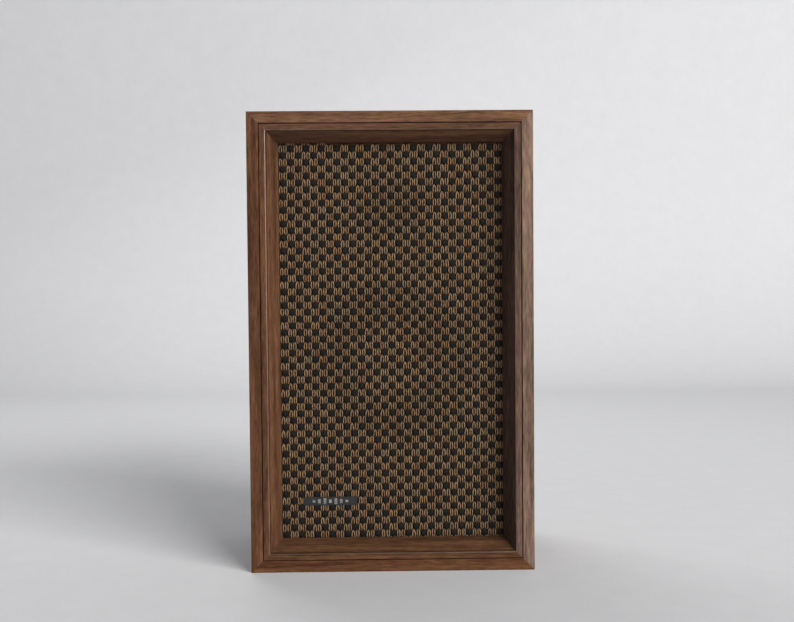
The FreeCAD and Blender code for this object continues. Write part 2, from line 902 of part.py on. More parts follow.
def moulding(label, length, degrees, x, z):
    """One side of the frame: a flat lip, a bead with a quirk beside it, then a hollow bevel to the cloth.

    Its own X runs along the outer edge, Y runs back and Z runs in towards the cloth.
    """
    body = new_body(label)
    profile = new_sketch(body, "YZ_Plane")
    bead_end = frame.face + frame.bead
    bevel_start = bead_end + frame.quirk
    corners = [
        (frame.edge_round, 0, frame.edge_round),
        (frame.depth, 0),
        (frame.depth, frame.reach),
        (frame.depth - frame.foot, frame.reach),
        (frame.bead + frame.quirk, bevel_start, frame.hollow),
        (frame.bead + 2 * frame.quirk, bead_end),
        (frame.bead, bead_end),
        (0, frame.face, frame.bead),
        (0, frame.edge_round),
    ]
    add_outline(profile, corners)
    pad = body.newObject("PartDesign::Pad", label + "_pad")
    pad.Profile = profile
    bind(pad, "Length", length)
    mitre = new_sketch(body, "XZ_Plane")
    over = 2
    reach = frame.reach + over
    add_outline(mitre, [(size(-over), size(-over)), (reach, reach), (size(-over), reach)])
    add_outline(mitre, [(length + over, size(-over)), (length + over, reach), (length - reach, reach)])
    pocket = body.newObject("PartDesign::Pocket", label + "_mitres")
    pocket.Profile = mitre
    pocket.Type = "ThroughAll"
    pocket.SideType = "Symmetric"
    turn(body, FreeCAD.Vector(0, 1, 0), degrees)
    place(body, x, behind(0), z)
    return body


def mouldings():
    half = case.width / 2 - FRAME_OUT
    low = FRAME_OUT
    high = case.height - FRAME_OUT
    sides = {
        "moulding_bottom": (2 * half, 0, -half, low),
        "moulding_top": (2 * half, 180, half, high),
        "moulding_left": (high - low, 90, -half, high),
        "moulding_right": (high - low, -90, half, low),
    }
    for label, (length, degrees, x, z) in sides.items():
        body = moulding(label, length, degrees, x, z)
        holes = []
        for number, (spot_x, spot_z) in enumerate(brad_spots()):
            start = behind(CLOTH_FRONT - BRAD_BITE)
            hole = (brad.radius, BRAD_BITE + 1, spot_x, start, spot_z)
            holes.append(cylinder(f"{label}_brad_hole_{number}", *hole, axis=(0, 1, 0)))
        drill = doc.addObject("Part::Compound", label + "_drill")
        drill.Links = holes
        node(minus(label + "_drilled", body, [drill]), label)


def grille_board():
    """The hardboard that carries the cloth, open in front of each drive unit."""
    width = case.width - 2 * BOARD_INSET
    height = case.height - 2 * BOARD_INSET
    holes = [(0, woofer.z, woofer.hole), (0, tweeter.z, tweeter.hole - 2)]
    holes += [(x, z, brad.radius) for x, z in brad_spots()]
    holes += [(x, badge.z, brad.radius) for x in PIN_XS]
    outline = rectangle(size(0), case.height / 2, width, height)
    node(slab("grille_board", outline, board.thick, behind(BOARD_FRONT), holes), "grille_board")


def grille_cloth():
    """The cloth as one thin shell: across the board, round its edges and hemmed behind it."""
    inset = BOARD_INSET - cloth.thick
    outer = block(
        "cloth_outer",
        (inset - case.width / 2, behind(CLOTH_FRONT), inset),
        (case.width / 2 - inset, behind(BOARD_REAR + cloth.thick), case.height - inset),
    )
    inner = block(
        "cloth_inner",
        (BOARD_INSET - case.width / 2, behind(BOARD_FRONT), BOARD_INSET),
        (case.width / 2 - BOARD_INSET, behind(BOARD_REAR), case.height - BOARD_INSET),
    )
    hem = BOARD_INSET + cloth.hem
    window = block(
        "cloth_window",
        (hem - case.width / 2, behind(BOARD_REAR - 1), hem),
        (case.width / 2 - hem, behind(BOARD_REAR + cloth.thick + 1), case.height - hem),
    )
    spots = brad_spots() + [(x, badge.z) for x in PIN_XS]
    holes = []
    for number, (x, z) in enumerate(spots):
        hole = (brad.radius, board.thick + 4, x, behind(CLOTH_FRONT - 1), z)
        holes.append(cylinder(f"cloth_hole_{number}", *hole, axis=(0, 1, 0)))
    drill = doc.addObject("Part::Compound", "cloth_drill")
    drill.Links = holes
    node(minus("grille_cloth", outer, [inner, window, drill]), "grille_cloth")


def moulding_brads():
    length = BRAD_BITE + cloth.thick + board.thick + cloth.thick
    outline = [
        (0, brad.head_thick),
        (brad.head, brad.head_thick),
        (brad.head, 0),
        (brad.radius, 0),
        (brad.radius, -length),
        (0, -length),
    ]
    pattern = turned("brad_pattern", outline)
    y = behind(BOARD_REAR + cloth.thick)
    repeated("moulding_brads", pattern, [(x, y, z) for x, z in brad_spots()])


def staple_spots():
    """Staples along the middle of the hem, with whether each lies along X."""
    middle = BOARD_INSET + cloth.hem / 2 + staple.inset
    x = case.width / 2 - middle
    low = middle
    high = case.height - middle
    shares = (0.09, 0.27, 0.42, 0.58, 0.73, 0.91)
    sides = [(side * x, low + (high - low) * share, False) for side in (-1, 1) for share in shares]
    ends = [(side * x * share, z, True) for z in (low, high) for side in (-1, 1) for share in (0.22, 0.68)]
    return sides + ends


def cloth_staples():
    """Wire staples that hold the hem. Only their crowns stand clear of the cloth."""
    y = behind(BOARD_REAR + cloth.thick)
    crowns = []
    for number, (x, z, along_x) in enumerate(staple_spots()):
        reach_x = staple.crown / 2 if along_x else staple.wire / 2
        reach_z = staple.wire / 2 if along_x else staple.crown / 2
        low = (x - reach_x, y, z - reach_z)
        crown = block(f"staple_{number}", low, (x + reach_x, y + staple.wire, z + reach_z))
        crowns.append(crown)
    group("cloth_staples", crowns)


def grille_pegs():
    """Four push-in pegs with rounded tips on the back of the board."""
    tip = peg.flange_thick + peg.reach
    outline = [
        (0, 0),
        (peg.flange, 0),
        (peg.flange, peg.flange_thick),
        (peg.radius, peg.flange_thick),
        (peg.radius, tip - peg.radius),
        (0, tip, peg.radius),
    ]
    pattern = turned("peg_pattern", outline)
    repeated("grille_pegs", pattern, [(x, behind(BOARD_REAR), z) for x, z in PEG_SPOTS])


def badge_parts():
    """A small plate with two pins through the cloth, and a raised row of plain bars on it."""
    front = behind(CLOTH_FRONT - badge.thick)
    left = badge.x - badge.width / 2
    low = badge.z - badge.height / 2
    far_corner = (left + badge.width, front + badge.thick, low + badge.height)
    solid = [block("badge_field", (left, front, low), far_corner)]
    pin_length = badge.thick + cloth.thick + board.thick
    for number, x in enumerate(PIN_XS):
        pin = cylinder(f"badge_pin_{number}", brad.radius, pin_length, x, front, badge.z, axis=(0, 1, 0))
        solid.append(pin)
    node(plus("badge_plate", solid), "badge_plate")
    shares = (0.4, 0.7, 1.0, 0.55, 1.0, 0.7, 0.4)
    bars = []
    for number, share in enumerate(shares):
        x = badge.x + badge.bar_step * (number - (len(shares) - 1) / 2)
        tall = badge.bar_tall * share
        start = (x - badge.bar_wide / 2, front - badge.bar_thick, badge.z - tall / 2)
        end = (x + badge.bar_wide / 2, front, badge.z + tall / 2)
        bars.append(block(f"badge_bar_{number}", start, end))
    group("badge_bars", bars)


# ---------------------------------------------------------------- wiring and filling


def damping_wadding():
    """A pad of soft wadding laid against the back panel, behind the tweeter."""
    label = "damping_wadding"
    low = (-wadding.width / 2, behind(BACK_FRONT) - wadding.thick, wadding.z - wadding.height / 2)
    high = (wadding.width / 2, behind(BACK_FRONT), wadding.z + wadding.height / 2)
    node(block(label, low, high), label)


def crossover():
    """The tweeter's series capacitor, strapped to the back panel."""
    y = behind(BACK_FRONT) - capacitor.radius - capacitor.strap
    bottom = capacitor.z - capacitor.length / 2
    can = cylinder("crossover_capacitor", capacitor.radius, capacitor.length, capacitor.x, y, bottom)
    node(can, "crossover_capacitor")
    strap_radius = capacitor.radius + capacitor.strap
    strap_low = capacitor.z - capacitor.strap_width / 2
    hoop = cylinder("strap_hoop", strap_radius, capacitor.strap_width, capacitor.x, y, strap_low)
    reach = strap_radius + 6
    foot_low = (capacitor.x - reach, behind(BACK_FRONT) - capacitor.strap, strap_low)
    foot_high = (capacitor.x + reach, behind(BACK_FRONT), strap_low + capacitor.strap_width)
    foot = block("strap_foot", foot_low, foot_high)
    bore = (capacitor.radius, capacitor.strap_width + 2, capacitor.x, y, strap_low - 1)
    hollow = cylinder("strap_hollow", *bore)
    strap = plus("capacitor_strap_whole", [hoop, foot])
    node(minus("capacitor_strap", strap, [hollow]), "capacitor_strap")


def rounded_path(points, share=0.45):
    """A wire of straight runs joined by tangent arcs, each as large as its two runs allow."""
    edges = []
    start = points[0]
    for before, corner, after in zip(points, points[1:], points[2:]):
        into = corner - before
        out = after - corner
        cut = share * min(into.Length, out.Length)
        first = corner - FreeCAD.Vector(into).normalize() * cut
        last = corner + FreeCAD.Vector(out).normalize() * cut
        half_turn = into.getAngle(out) / 2
        radius = cut / math.tan(half_turn)
        inward = (first + last) * 0.5 - corner
        crown = corner + inward.normalize() * (radius / math.cos(half_turn) - radius)
        edges.append(Part.LineSegment(start, first).toShape())
        edges.append(Part.Arc(first, crown, last).toShape())
        start = last
    edges.append(Part.LineSegment(start, points[-1]).toShape())
    return Part.Wire(edges)


def lead_along(points):
    """One insulated lead along a rounded path."""
    vectors = [FreeCAD.Vector(*(size(length).value for length in point)) for point in points]
    path = rounded_path(vectors)
    section = Part.Wire(Part.Circle(vectors[0], vectors[1] - vectors[0], lead.radius.value).toShape())
    return path.makePipeShell([section], True, False)


def leads(label, routes):
    """A node of leads, each a separate solid."""
    feature = doc.addObject("Part::Feature", label)
    feature.Shape = Part.makeCompound([lead_along(route) for route in routes])
    node(feature, label)


def wiring():
    tag_y = behind(TERMINAL_REAR - terminal.body_deep) - contact.tail - lead.radius
    tag_z = terminal.z + contact.z
    woofer_y = behind(WOOFER_TAG_DEPTH) + tag.thick / 2 + lead.radius
    woofer_z = tag_top(woofer) - 6
    tweeter_y = behind(TWEETER_TAG_DEPTH) + tag.thick / 2 + lead.radius
    tweeter_z = tag_top(tweeter) - 6
    can_y = behind(BACK_FRONT) - capacitor.radius - capacitor.strap
    can_low = capacitor.z - capacitor.length / 2
    can_high = capacitor.z + capacitor.length / 2
    woofer_routes = []
    for side, x in ((1, terminal.slot_x), (-1, -terminal.slot_x)):
        woofer_routes.append(
            [
                (x, tag_y, tag_z + 2),
                (x, tag_y - 9, tag_z + 6),
                (x * 0.8, woofer_y + 6, woofer_z - 14),
                (side * tag.x, woofer_y, woofer_z - 6),
                (side * tag.x, woofer_y, woofer_z + 3),
            ]
        )
    leads("woofer_leads", woofer_routes)
    supply = [
        (terminal.slot_x + 2, tag_y, tag_z - 2),
        (terminal.slot_x + 14, tag_y - 4, tag_z - 4),
        (capacitor.x - 4, can_y - 3, can_low - 22),
        (capacitor.x, can_y, can_low - 12),
        (capacitor.x, can_y, can_low),
    ]
    onward = [
        (capacitor.x, can_y, can_high),
        (capacitor.x, can_y, can_high + 12),
        (capacitor.x + 2, can_y - 14, can_high + 38),
        (capacitor.x - 14, tweeter_y + 20, tweeter_z - 34),
        (size(8), tweeter_y + 3, tweeter_z - 14),
        (tag.x, tweeter_y, tweeter_z - 6),
        (tag.x, tweeter_y, tweeter_z + 3),
    ]
    common = [
        (-terminal.slot_x - 2, tag_y, tag_z - 2),
        (-terminal.slot_x - 14, tag_y - 6, tag_z + 4),
        (-capacitor.x, can_y - 10, tag_z + 40),
        (-capacitor.x - 2, can_y - 22, tweeter_z - 74),
        (-capacitor.x + 12, tweeter_y + 20, tweeter_z - 34),
        (size(-8), tweeter_y + 3, tweeter_z - 14),
        (-tag.x, tweeter_y, tweeter_z - 6),
        (-tag.x, tweeter_y, tweeter_z + 3),
    ]
    leads("tweeter_leads", [supply, onward, common])


# ---------------------------------------------------------------- the whole speaker


def check_everything():
    """Stop if any object failed or any finished piece is empty or not valid."""
    for obj in doc.Objects:
        failed = [state for state in obj.State if state in ("Invalid", "Error")]
        if failed:
            raise RuntimeError(f"{obj.Label}: {failed}")
    for obj in nodes:
        if obj.Shape.isNull() or not obj.Shape.isValid():
            raise RuntimeError(f"{obj.Label}: shape is null or not valid")
        if not obj.Shape.Solids:
            raise RuntimeError(f"{obj.Label}: no solid")


def write_parts():
    os.makedirs("parts", exist_ok=True)
    for obj in nodes:
        obj.Shape.exportStep(f"parts/{obj.Label}.step")


cabinet()
battens("front", baffle.front + baffle.thick)
battens("rear", BACK_FRONT - batten.side)
front_baffle()
peg_sockets()
back_panel()
back_panel_screws()
terminal_housing()
terminal_lever("red")
terminal_lever("black")
terminal_contacts()
terminal_screws()
drive_units()
mouldings()
grille_board()
grille_cloth()
moulding_brads()
cloth_staples()
grille_pegs()
badge_parts()
damping_wadding()
crossover()
wiring()

doc.recompute()
check_everything()
write_parts()
print(len(nodes), "nodes")
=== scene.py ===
"""The looks of a small bookshelf speaker: walnut case, mitred grille frame and checkered woven cloth."""

import json
import math
import random

import bmesh
import bpy
import numpy as np
from mathutils import Matrix, Vector, noise

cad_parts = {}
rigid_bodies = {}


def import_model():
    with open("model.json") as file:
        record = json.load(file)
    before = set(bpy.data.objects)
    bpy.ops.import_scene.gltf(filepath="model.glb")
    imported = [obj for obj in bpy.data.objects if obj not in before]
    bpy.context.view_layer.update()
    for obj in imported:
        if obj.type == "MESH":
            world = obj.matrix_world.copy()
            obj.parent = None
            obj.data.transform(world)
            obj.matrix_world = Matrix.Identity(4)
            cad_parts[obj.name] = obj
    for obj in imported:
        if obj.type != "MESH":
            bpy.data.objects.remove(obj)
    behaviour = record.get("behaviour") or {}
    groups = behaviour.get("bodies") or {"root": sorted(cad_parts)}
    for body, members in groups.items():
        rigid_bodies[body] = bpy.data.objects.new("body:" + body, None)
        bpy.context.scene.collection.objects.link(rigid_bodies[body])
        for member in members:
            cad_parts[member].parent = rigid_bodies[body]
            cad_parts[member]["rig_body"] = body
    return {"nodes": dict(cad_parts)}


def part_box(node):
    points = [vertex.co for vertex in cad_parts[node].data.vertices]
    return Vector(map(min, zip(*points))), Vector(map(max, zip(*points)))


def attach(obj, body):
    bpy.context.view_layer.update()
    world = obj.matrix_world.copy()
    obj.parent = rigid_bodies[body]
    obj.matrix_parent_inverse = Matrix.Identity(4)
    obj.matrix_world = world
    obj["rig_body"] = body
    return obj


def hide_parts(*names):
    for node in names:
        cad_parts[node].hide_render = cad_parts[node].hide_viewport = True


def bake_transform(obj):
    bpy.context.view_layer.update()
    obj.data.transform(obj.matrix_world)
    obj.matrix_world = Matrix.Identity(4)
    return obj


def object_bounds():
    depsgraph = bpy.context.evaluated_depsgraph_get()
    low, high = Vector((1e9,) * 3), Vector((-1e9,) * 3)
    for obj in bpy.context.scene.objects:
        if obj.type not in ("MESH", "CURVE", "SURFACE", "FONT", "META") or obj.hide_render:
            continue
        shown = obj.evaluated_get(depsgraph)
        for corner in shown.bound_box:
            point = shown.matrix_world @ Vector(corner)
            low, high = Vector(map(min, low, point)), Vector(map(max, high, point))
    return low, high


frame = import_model()
cad_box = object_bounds()
nodes = frame["nodes"]
MM = 0.001
WELD = 0.001 * MM


# ---------------------------------------------------------------- mesh helpers


def finish_mesh(name, mesh, body, slot=None, sharp_degrees=40):
    """An object from a mesh, smooth except at sharp edges, riding on a body."""
    mesh.shade_smooth()
    mesh.set_sharp_from_angle(angle=math.radians(sharp_degrees))
    made = bpy.data.objects.new(name, mesh)
    bpy.context.scene.collection.objects.link(made)
    if body:
        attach(made, body)
    return made


def mesh_from(name, points, faces):
    """A mesh from points and the faces that join them."""
    mesh = bpy.data.meshes.new(name)
    mesh.from_pydata([tuple(point) for point in points], [], faces)
    mesh.validate()
    return mesh


def bmesh_to_mesh(name, work):
    """A mesh from a bmesh, which is used up, with its faces turned outwards."""
    bmesh.ops.recalc_face_normals(work, faces=work.faces)
    mesh = bpy.data.meshes.new(name)
    work.to_mesh(mesh)
    work.free()
    return mesh


def welded(node):
    """A CAD node's mesh as a bmesh, with the vertices that share a place joined."""
    work = bmesh.new()
    work.from_mesh(nodes[node].data)
    bmesh.ops.remove_doubles(work, verts=work.verts, dist=WELD)
    return work


def boxes_of(node):
    """The box of each separate solid in a CAD node, as (lowest corner, highest corner)."""
    work = welded(node)
    left = set(work.verts)
    boxes = []
    while left:
        reached = [left.pop()]
        island = []
        while reached:
            vertex = reached.pop()
            island.append(vertex.co.copy())
            for edge in vertex.link_edges:
                other = edge.other_vert(vertex)
                if other in left:
                    left.remove(other)
                    reached.append(other)
        low = Vector(min(point[axis] for point in island) for axis in range(3))
        high = Vector(max(point[axis] for point in island) for axis in range(3))
        boxes.append((low, high))
    work.free()
    return sorted(boxes, key=lambda box: tuple(round(value, 5) for value in box[0]))


def softened(node, width, slot):
    """A copy of a CAD node with its sharp edges rounded, which stands for the node."""
    work = welded(node)
    bmesh.ops.dissolve_limit(work, angle_limit=math.radians(2), verts=work.verts, edges=work.edges)
    mesh = bmesh_to_mesh(f"{node}_soft", work)
    body = nodes[node]["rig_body"]
    made = finish_mesh(f"{node}_soft", mesh, body, slot)
    rounding = made.modifiers.new("rounding", "BEVEL")
    rounding.width = width
    rounding.segments = 2
    rounding.limit_method = "ANGLE"
    rounding.angle_limit = math.radians(40)
    rounding.harden_normals = True
    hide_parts(node)
    return made


def revolved(name, profile, centre, body, slot, segments=128):
    """A solid of revolution about Y from a closed profile of (radius, y) points."""
    count = len(profile)
    points = []
    for step in range(segments):
        angle = 2 * math.pi * step / segments
        for radius, y in profile:
            points.append((centre.x + radius * math.cos(angle), y, centre.z + radius * math.sin(angle)))
    faces = []
    for step in range(segments):
        here = step * count
        after = (step + 1) % segments * count
        for k in range(count):
            above = (k + 1) % count
            faces.append((here + k, here + above, after + above, after + k))
    work = bmesh.new()
    mesh = mesh_from(name, points, faces)
    work.from_mesh(mesh)
    bmesh.ops.remove_doubles(work, verts=work.verts, dist=WELD)
    return finish_mesh(name, bmesh_to_mesh(name, work), body, slot)


# ---------------------------------------------------------------- material helpers


def srgb(red, green, blue):
    """A colour given in the usual 0 to 255, as the linear values that a shader takes."""
    shares = [value / 255 for value in (red, green, blue)]
    linear = [share / 12.92 if share <= 0.04045 else ((share + 0.055) / 1.055) ** 2.4 for share in shares]
    return (*linear, 1.0)


class Paint:
    """One node material. Each call adds a node and gives back its output, which can feed the next."""

    def __init__(self, name):
        self.material = bpy.data.materials.new(name)
        self.material.use_nodes = True
        self.tree = self.material.node_tree
        self.shader = self.tree.nodes["Principled BSDF"]
        coordinates = self.tree.nodes.new("ShaderNodeTexCoord")
        self.place = coordinates.outputs["Object"]

    def feed(self, socket, value):
        """Links an output to a socket, or sets the socket to a plain value."""
        if isinstance(value, bpy.types.NodeSocket):
            self.tree.links.new(value, socket)
        else:
            socket.default_value = value

    def add(self, kind, settings, inputs, output=0):
        """A node of a kind, with its settings and inputs, as one of its outputs."""
        made = self.tree.nodes.new(f"ShaderNode{kind}")
        for name, value in settings.items():
            setattr(made, name, value)
        for name, value in inputs.items():
            self.feed(made.inputs[name], value)
        return made.outputs[output]

    def stretched(self, sizes, offset=(0, 0, 0)):
        """The object's coordinates, scaled so that a pattern repeats at these sizes in metres."""
        scale = tuple(1 / size for size in sizes)
        return self.add("Mapping", {}, {"Vector": self.place, "Scale": scale, "Location": offset})

    def noise(self, vector, detail=3.0, roughness=0.55, distortion=0.0):
        """Smooth random values about 0.5."""
        inputs = {"Vector": vector, "Scale": 1.0, "Detail": detail, "Roughness": roughness}
        return self.add("TexNoise", {}, {**inputs, "Distortion": distortion})

    def spots(self, vector):
        """The distance to the nearest of many scattered points."""
        return self.add("TexVoronoi", {"feature": "F1"}, {"Vector": vector, "Scale": 1.0})

    def math(self, operation, first, second=0.0):
        """One step of arithmetic on outputs or plain values."""
        return self.add("Math", {"operation": operation}, {0: first, 1: second})

    def between(self, value, low, high, to_low=0.0, to_high=1.0):
        """The value taken from one range to another, smoothly and clamped."""
        inputs = {"Value": value, "From Min": low, "From Max": high, "To Min": to_low, "To Max": to_high}
        return self.add("MapRange", {"interpolation_type": "SMOOTHSTEP"}, inputs)

    def mix(self, share, first, second, blend="MIX"):
        """Two colours mixed by a share."""
        settings = {"data_type": "RGBA", "blend_type": blend}
        return self.add("Mix", settings, {0: share, 6: first, 7: second}, 2)

    def ramp(self, value, *stops):
        """A colour for each value, from (position, colour) stops."""
        output = self.add("ValToRGB", {}, {"Fac": value})
        elements = output.node.color_ramp.elements
        while len(elements) < len(stops):
            elements.new(1.0)
        for element, (position, colour) in zip(elements, stops):
            element.position = position
            element.color = colour
        return output

    def bump(self, height, depth):
        """A bump whose height of 1 stands this many metres proud."""
        normal = self.add("Bump", {}, {"Height": height, "Distance": depth, "Strength": 1.0})
        self.feed(self.shader.inputs["Normal"], normal)

    def surface(self, colour, roughness, **constants):
        """The finished material. The constants are shader inputs that are the same all over."""
        self.feed(self.shader.inputs["Base Color"], colour)
        self.feed(self.shader.inputs["Roughness"], roughness)
        for name, value in constants.items():
            self.shader.inputs[name.replace("_", " ")].default_value = value
        return self.material


def wear(piece, material):
    """Gives a piece one material in all its slots."""
    piece.data.materials.clear()
    piece.data.materials.append(material)


# ---------------------------------------------------------------- materials

WALNUT_PORE = srgb(30, 18, 13)
# Golden and reddish parts of the wood are its own colour times these.
GOLDEN = (1.02, 1.02, 0.84, 1.0)
REDDISH = (1.04, 0.89, 0.97, 1.0)
# How far the figure goes below and above the average colour.
FIGURE_DARKENS = 0.54
FIGURE_LIGHTENS = 0.62
VENEER_CONTRAST = 0.8
RING_COUNT = 90
EDGE_STRIP = 0.6 * MM
FRONT = cad_box[0].y


def shade(colour, factor):
    """The colour made lighter or darker."""
    return (*(min(1.0, channel * factor) for channel in colour[:3]), 1.0)


def shared(paint, first, first_share, second, second_share):
    """The sum of two patterns, each taken by its share."""
    first_part = paint.math("MULTIPLY", first, first_share)
    second_part = paint.math("MULTIPLY", second, second_share)
    return paint.math("ADD", first_part, second_part)


def walnut(name, along, seed, average, edge=None, worn_arris=None):
    """Oiled walnut of an average colour with its grain along one axis: figure, streaks and short dark pores.

    With an edge colour it is a veneered board, whose front edge is a strip of that colour. A worn arris is
    rubbed to a shine between two depths.
    """
    paint = Paint(name)
    offset = (seed * 3.1, seed * 5.7, seed * 7.3)

    def grain(length, across):
        """Coordinates for a pattern that is so many mm long, with the grain, and so many across."""
        sizes = [across * MM] * 3
        sizes[along] = length * MM
        return paint.stretched(sizes, offset)

    def pattern(tone, streaks, contrast):
        """Wood of an average tone: streaks over the broad figure, golden and reddish in places."""
        tones = shared(paint, figure, 0.45, streaks, 0.55)
        dark = shade(tone, 1 - FIGURE_DARKENS * contrast)
        light = shade(tone, 1 + FIGURE_LIGHTENS * contrast)
        wood = paint.ramp(tones, (0.36, dark), (0.5, shade(tone, 0.94)), (0.66, light))
        warm = paint.mix(golden, wood, GOLDEN, "MULTIPLY")
        return paint.mix(reddish, warm, REDDISH, "MULTIPLY")

    figure = paint.noise(grain(110, 5), detail=2.5, distortion=0.6)
    short = paint.noise(grain(12, 1.1), detail=4, roughness=0.65)
    fine = paint.noise(grain(6, 0.3), detail=2)
    hue = paint.noise(grain(15, 2.2), detail=2.5)
    golden = paint.between(hue, 0.4, 0.5, 1, 0)
    reddish = paint.between(hue, 0.5, 0.6)
    depth = paint.add("SeparateXYZ", {}, {"Vector": paint.place}, 1)
    if edge:
        rings = paint.math("MULTIPLY", paint.noise(grain(380, 30), detail=1.0), RING_COUNT)
        arches = paint.math("MULTIPLY", paint.math("SINE", rings), 0.05)
        long = paint.noise(grain(60, 1.3), detail=3, roughness=0.6)
        veneer = pattern(average, paint.math("ADD", long, arches), VENEER_CONTRAST)
        strip = paint.math("LESS_THAN", depth, FRONT + EDGE_STRIP)
        wood = paint.mix(strip, veneer, pattern(edge, short, 1.0))
    else:
        wood = pattern(average, short, 1.0)
    threads = paint.between(fine, 0.3, 0.7, 0.76, 1.2)
    wood = paint.mix(1.0, wood, threads, "MULTIPLY")
    pores = paint.between(paint.spots(grain(5, 0.45)), 0.0, 0.16, 1, 0)
    patches = paint.between(paint.noise(grain(30, 4)), 0.42, 0.6)
    pores = paint.math("MULTIPLY", pores, patches)
    wood = paint.mix(paint.math("MULTIPLY", pores, 0.7), wood, WALNUT_PORE)
    height = paint.math("SUBTRACT", paint.math("MULTIPLY", fine, 0.35), pores)
    paint.bump(height, 0.04 * MM)
    roughness = paint.between(figure, 0.3, 0.7, 0.88, 0.78)
    if worn_arris:
        start, finish = worn_arris
        after = paint.math("GREATER_THAN", depth, start)
        before = paint.math("LESS_THAN", depth, finish)
        paint.feed(paint.shader.inputs["Coat Weight"], paint.math("MULTIPLY", after, before))
    gloss = {"IOR": 1.45, "Specular_IOR_Level": 0.03, "Coat_Roughness": 0.33, "Coat_IOR": 1.7}
    return paint.surface(wood, roughness, **gloss)


def mottled(name, base, flecks, size, rough, bump_depth, **constants):
    """A plain material with a fine two-colour mottle, for moulded, painted or pressed things."""
    paint = Paint(name)
    broad = paint.noise(paint.stretched([size * 8] * 3), detail=2)
    small = paint.noise(paint.stretched([size] * 3), detail=3, roughness=0.65)
    share = shared(paint, broad, 0.5, small, 0.5)
    colour = paint.ramp(share, (0.35, base), (0.65, flecks))
    paint.bump(small, bump_depth)
    roughness = paint.between(broad, 0.3, 0.7, rough - 0.06, rough + 0.06)
    return paint.surface(colour, roughness, **constants)


def fibrous(name, dark, light, size, rough, bump_depth):
    """Pressed or matted fibre: strands in two directions over a soft mottle."""
    paint = Paint(name)
    level = paint.noise(paint.stretched((size * 9, size, size)), detail=3)
    upright = paint.noise(paint.stretched((size, size, size * 9), (3, 1, 4)), detail=3)
    broad = paint.noise(paint.stretched([size * 25] * 3), detail=2)
    strands = paint.math("MAXIMUM", level, upright)
    share = shared(paint, broad, 0.15, strands, 0.85)
    colour = paint.ramp(share, (0.4, dark), (0.72, light))
    paint.bump(strands, bump_depth)
    return paint.surface(colour, rough)


def brushed_metal(name, dark, light, along, rough, size=0.4):
    """Bare metal with fine drawn lines along one axis."""
    paint = Paint(name)
    sizes = [size * 0.25 * MM] * 3
    sizes[along] = size * 30 * MM
    lines = paint.noise(paint.stretched(sizes), detail=2)
    broad = paint.noise(paint.stretched([4 * MM] * 3), detail=2)
    share = shared(paint, broad, 0.5, lines, 0.5)
    colour = paint.ramp(share, (0.35, dark), (0.65, light))
    paint.bump(lines, 0.01 * MM)
    roughness = paint.between(broad, 0.3, 0.7, rough - 0.07, rough + 0.07)
    return paint.surface(colour, roughness, Metallic=1.0)


def pine(name, along):
    """Planed softwood battens: pale with darker growth rings."""
    paint = Paint(name)
    sizes = [2.2 * MM] * 3
    sizes[along] = 130 * MM
    rings = paint.noise(paint.stretched(sizes), detail=2, distortion=0.5)
    early = srgb(206, 170, 120)
    pale = srgb(222, 190, 142)
    late = srgb(176, 130, 82)
    colour = paint.ramp(rings, (0.35, early), (0.52, pale), (0.66, late))
    paint.bump(rings, 0.04 * MM)
    return paint.surface(colour, 0.6)


def chipboard(name, dark, light):
    """Pressed wood chips, each a cell of its own shade."""
    paint = Paint(name)
    chip_size = (3 * MM, 1 * MM, 1.6 * MM)
    chips = paint.add("TexVoronoi", {}, {"Vector": paint.stretched(chip_size), "Scale": 1.0}, 1)
    tone = paint.add("RGBToBW", {}, {"Color": chips})
    small = paint.noise(paint.stretched([0.7 * MM] * 3), detail=2)
    share = shared(paint, tone, 0.6, small, 0.4)
    colour = paint.ramp(share, (0.3, dark), (0.7, light))
    paint.bump(share, 0.08 * MM)
    return paint.surface(colour, 0.75)


def ringed_paper(name, centre, dark, light, pitch):
    """Pressed paper pulp with faint rings about an axis along Y."""
    paint = Paint(name)
    rings = paint.math("SINE", paint.math("MULTIPLY", distance_from(paint, centre), 2 * math.pi / pitch))
    pulp = paint.noise(paint.stretched([0.8 * MM] * 3), detail=4, roughness=0.7)
    colour = paint.ramp(pulp, (0.35, dark), (0.68, light))
    height = paint.math("ADD", paint.math("MULTIPLY", rings, 0.6), pulp)
    paint.bump(height, 0.12 * MM)
    return paint.surface(colour, 0.85)


# ---------------------------------------------------------------- grille cloth


def middle_of(node):
    """The middle of a CAD node's box."""
    low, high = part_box(node)
    return (low + high) / 2


opening_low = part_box("moulding_left")[1].x
opening_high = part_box("moulding_right")[0].x
opening_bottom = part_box("moulding_bottom")[1].z
opening_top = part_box("moulding_top")[0].z
CLOTH_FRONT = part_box("grille_cloth")[0].y
CLOTH_THICK = 0.6 * MM
HEM = 14 * MM
SHEET_GRID = (48, 84)
# The woven blocks stand at these pitches. Their rows rise a little to the right.
COLUMN_PITCH = 5.577 * MM
ROW_PITCH = 4.949 * MM
ROW_RISE = 0.017 * MM
FIRST_COLUMN = -77.74 * MM
FIRST_ROW = 23.19 * MM
END_PINCH = 0.62


def cloth_cells():
    """The centre of each woven block that shows in the opening, and whether it is a black one."""
    columns = range(-2, int((opening_high - FIRST_COLUMN) / COLUMN_PITCH) + 2)
    rows = range(-2, int((opening_top - FIRST_ROW) / ROW_PITCH) + 2)
    for row in rows:
        for column in columns:
            x = FIRST_COLUMN + column * COLUMN_PITCH
            z = FIRST_ROW + row * ROW_PITCH + column * ROW_RISE
            in_width = opening_low - COLUMN_PITCH / 3 < x < opening_high + COLUMN_PITCH / 3
            in_height = opening_bottom - ROW_PITCH / 2 < z < opening_top + ROW_PITCH / 4
            if in_width and in_height:
                yield x, z, (row + column) % 2 == 0


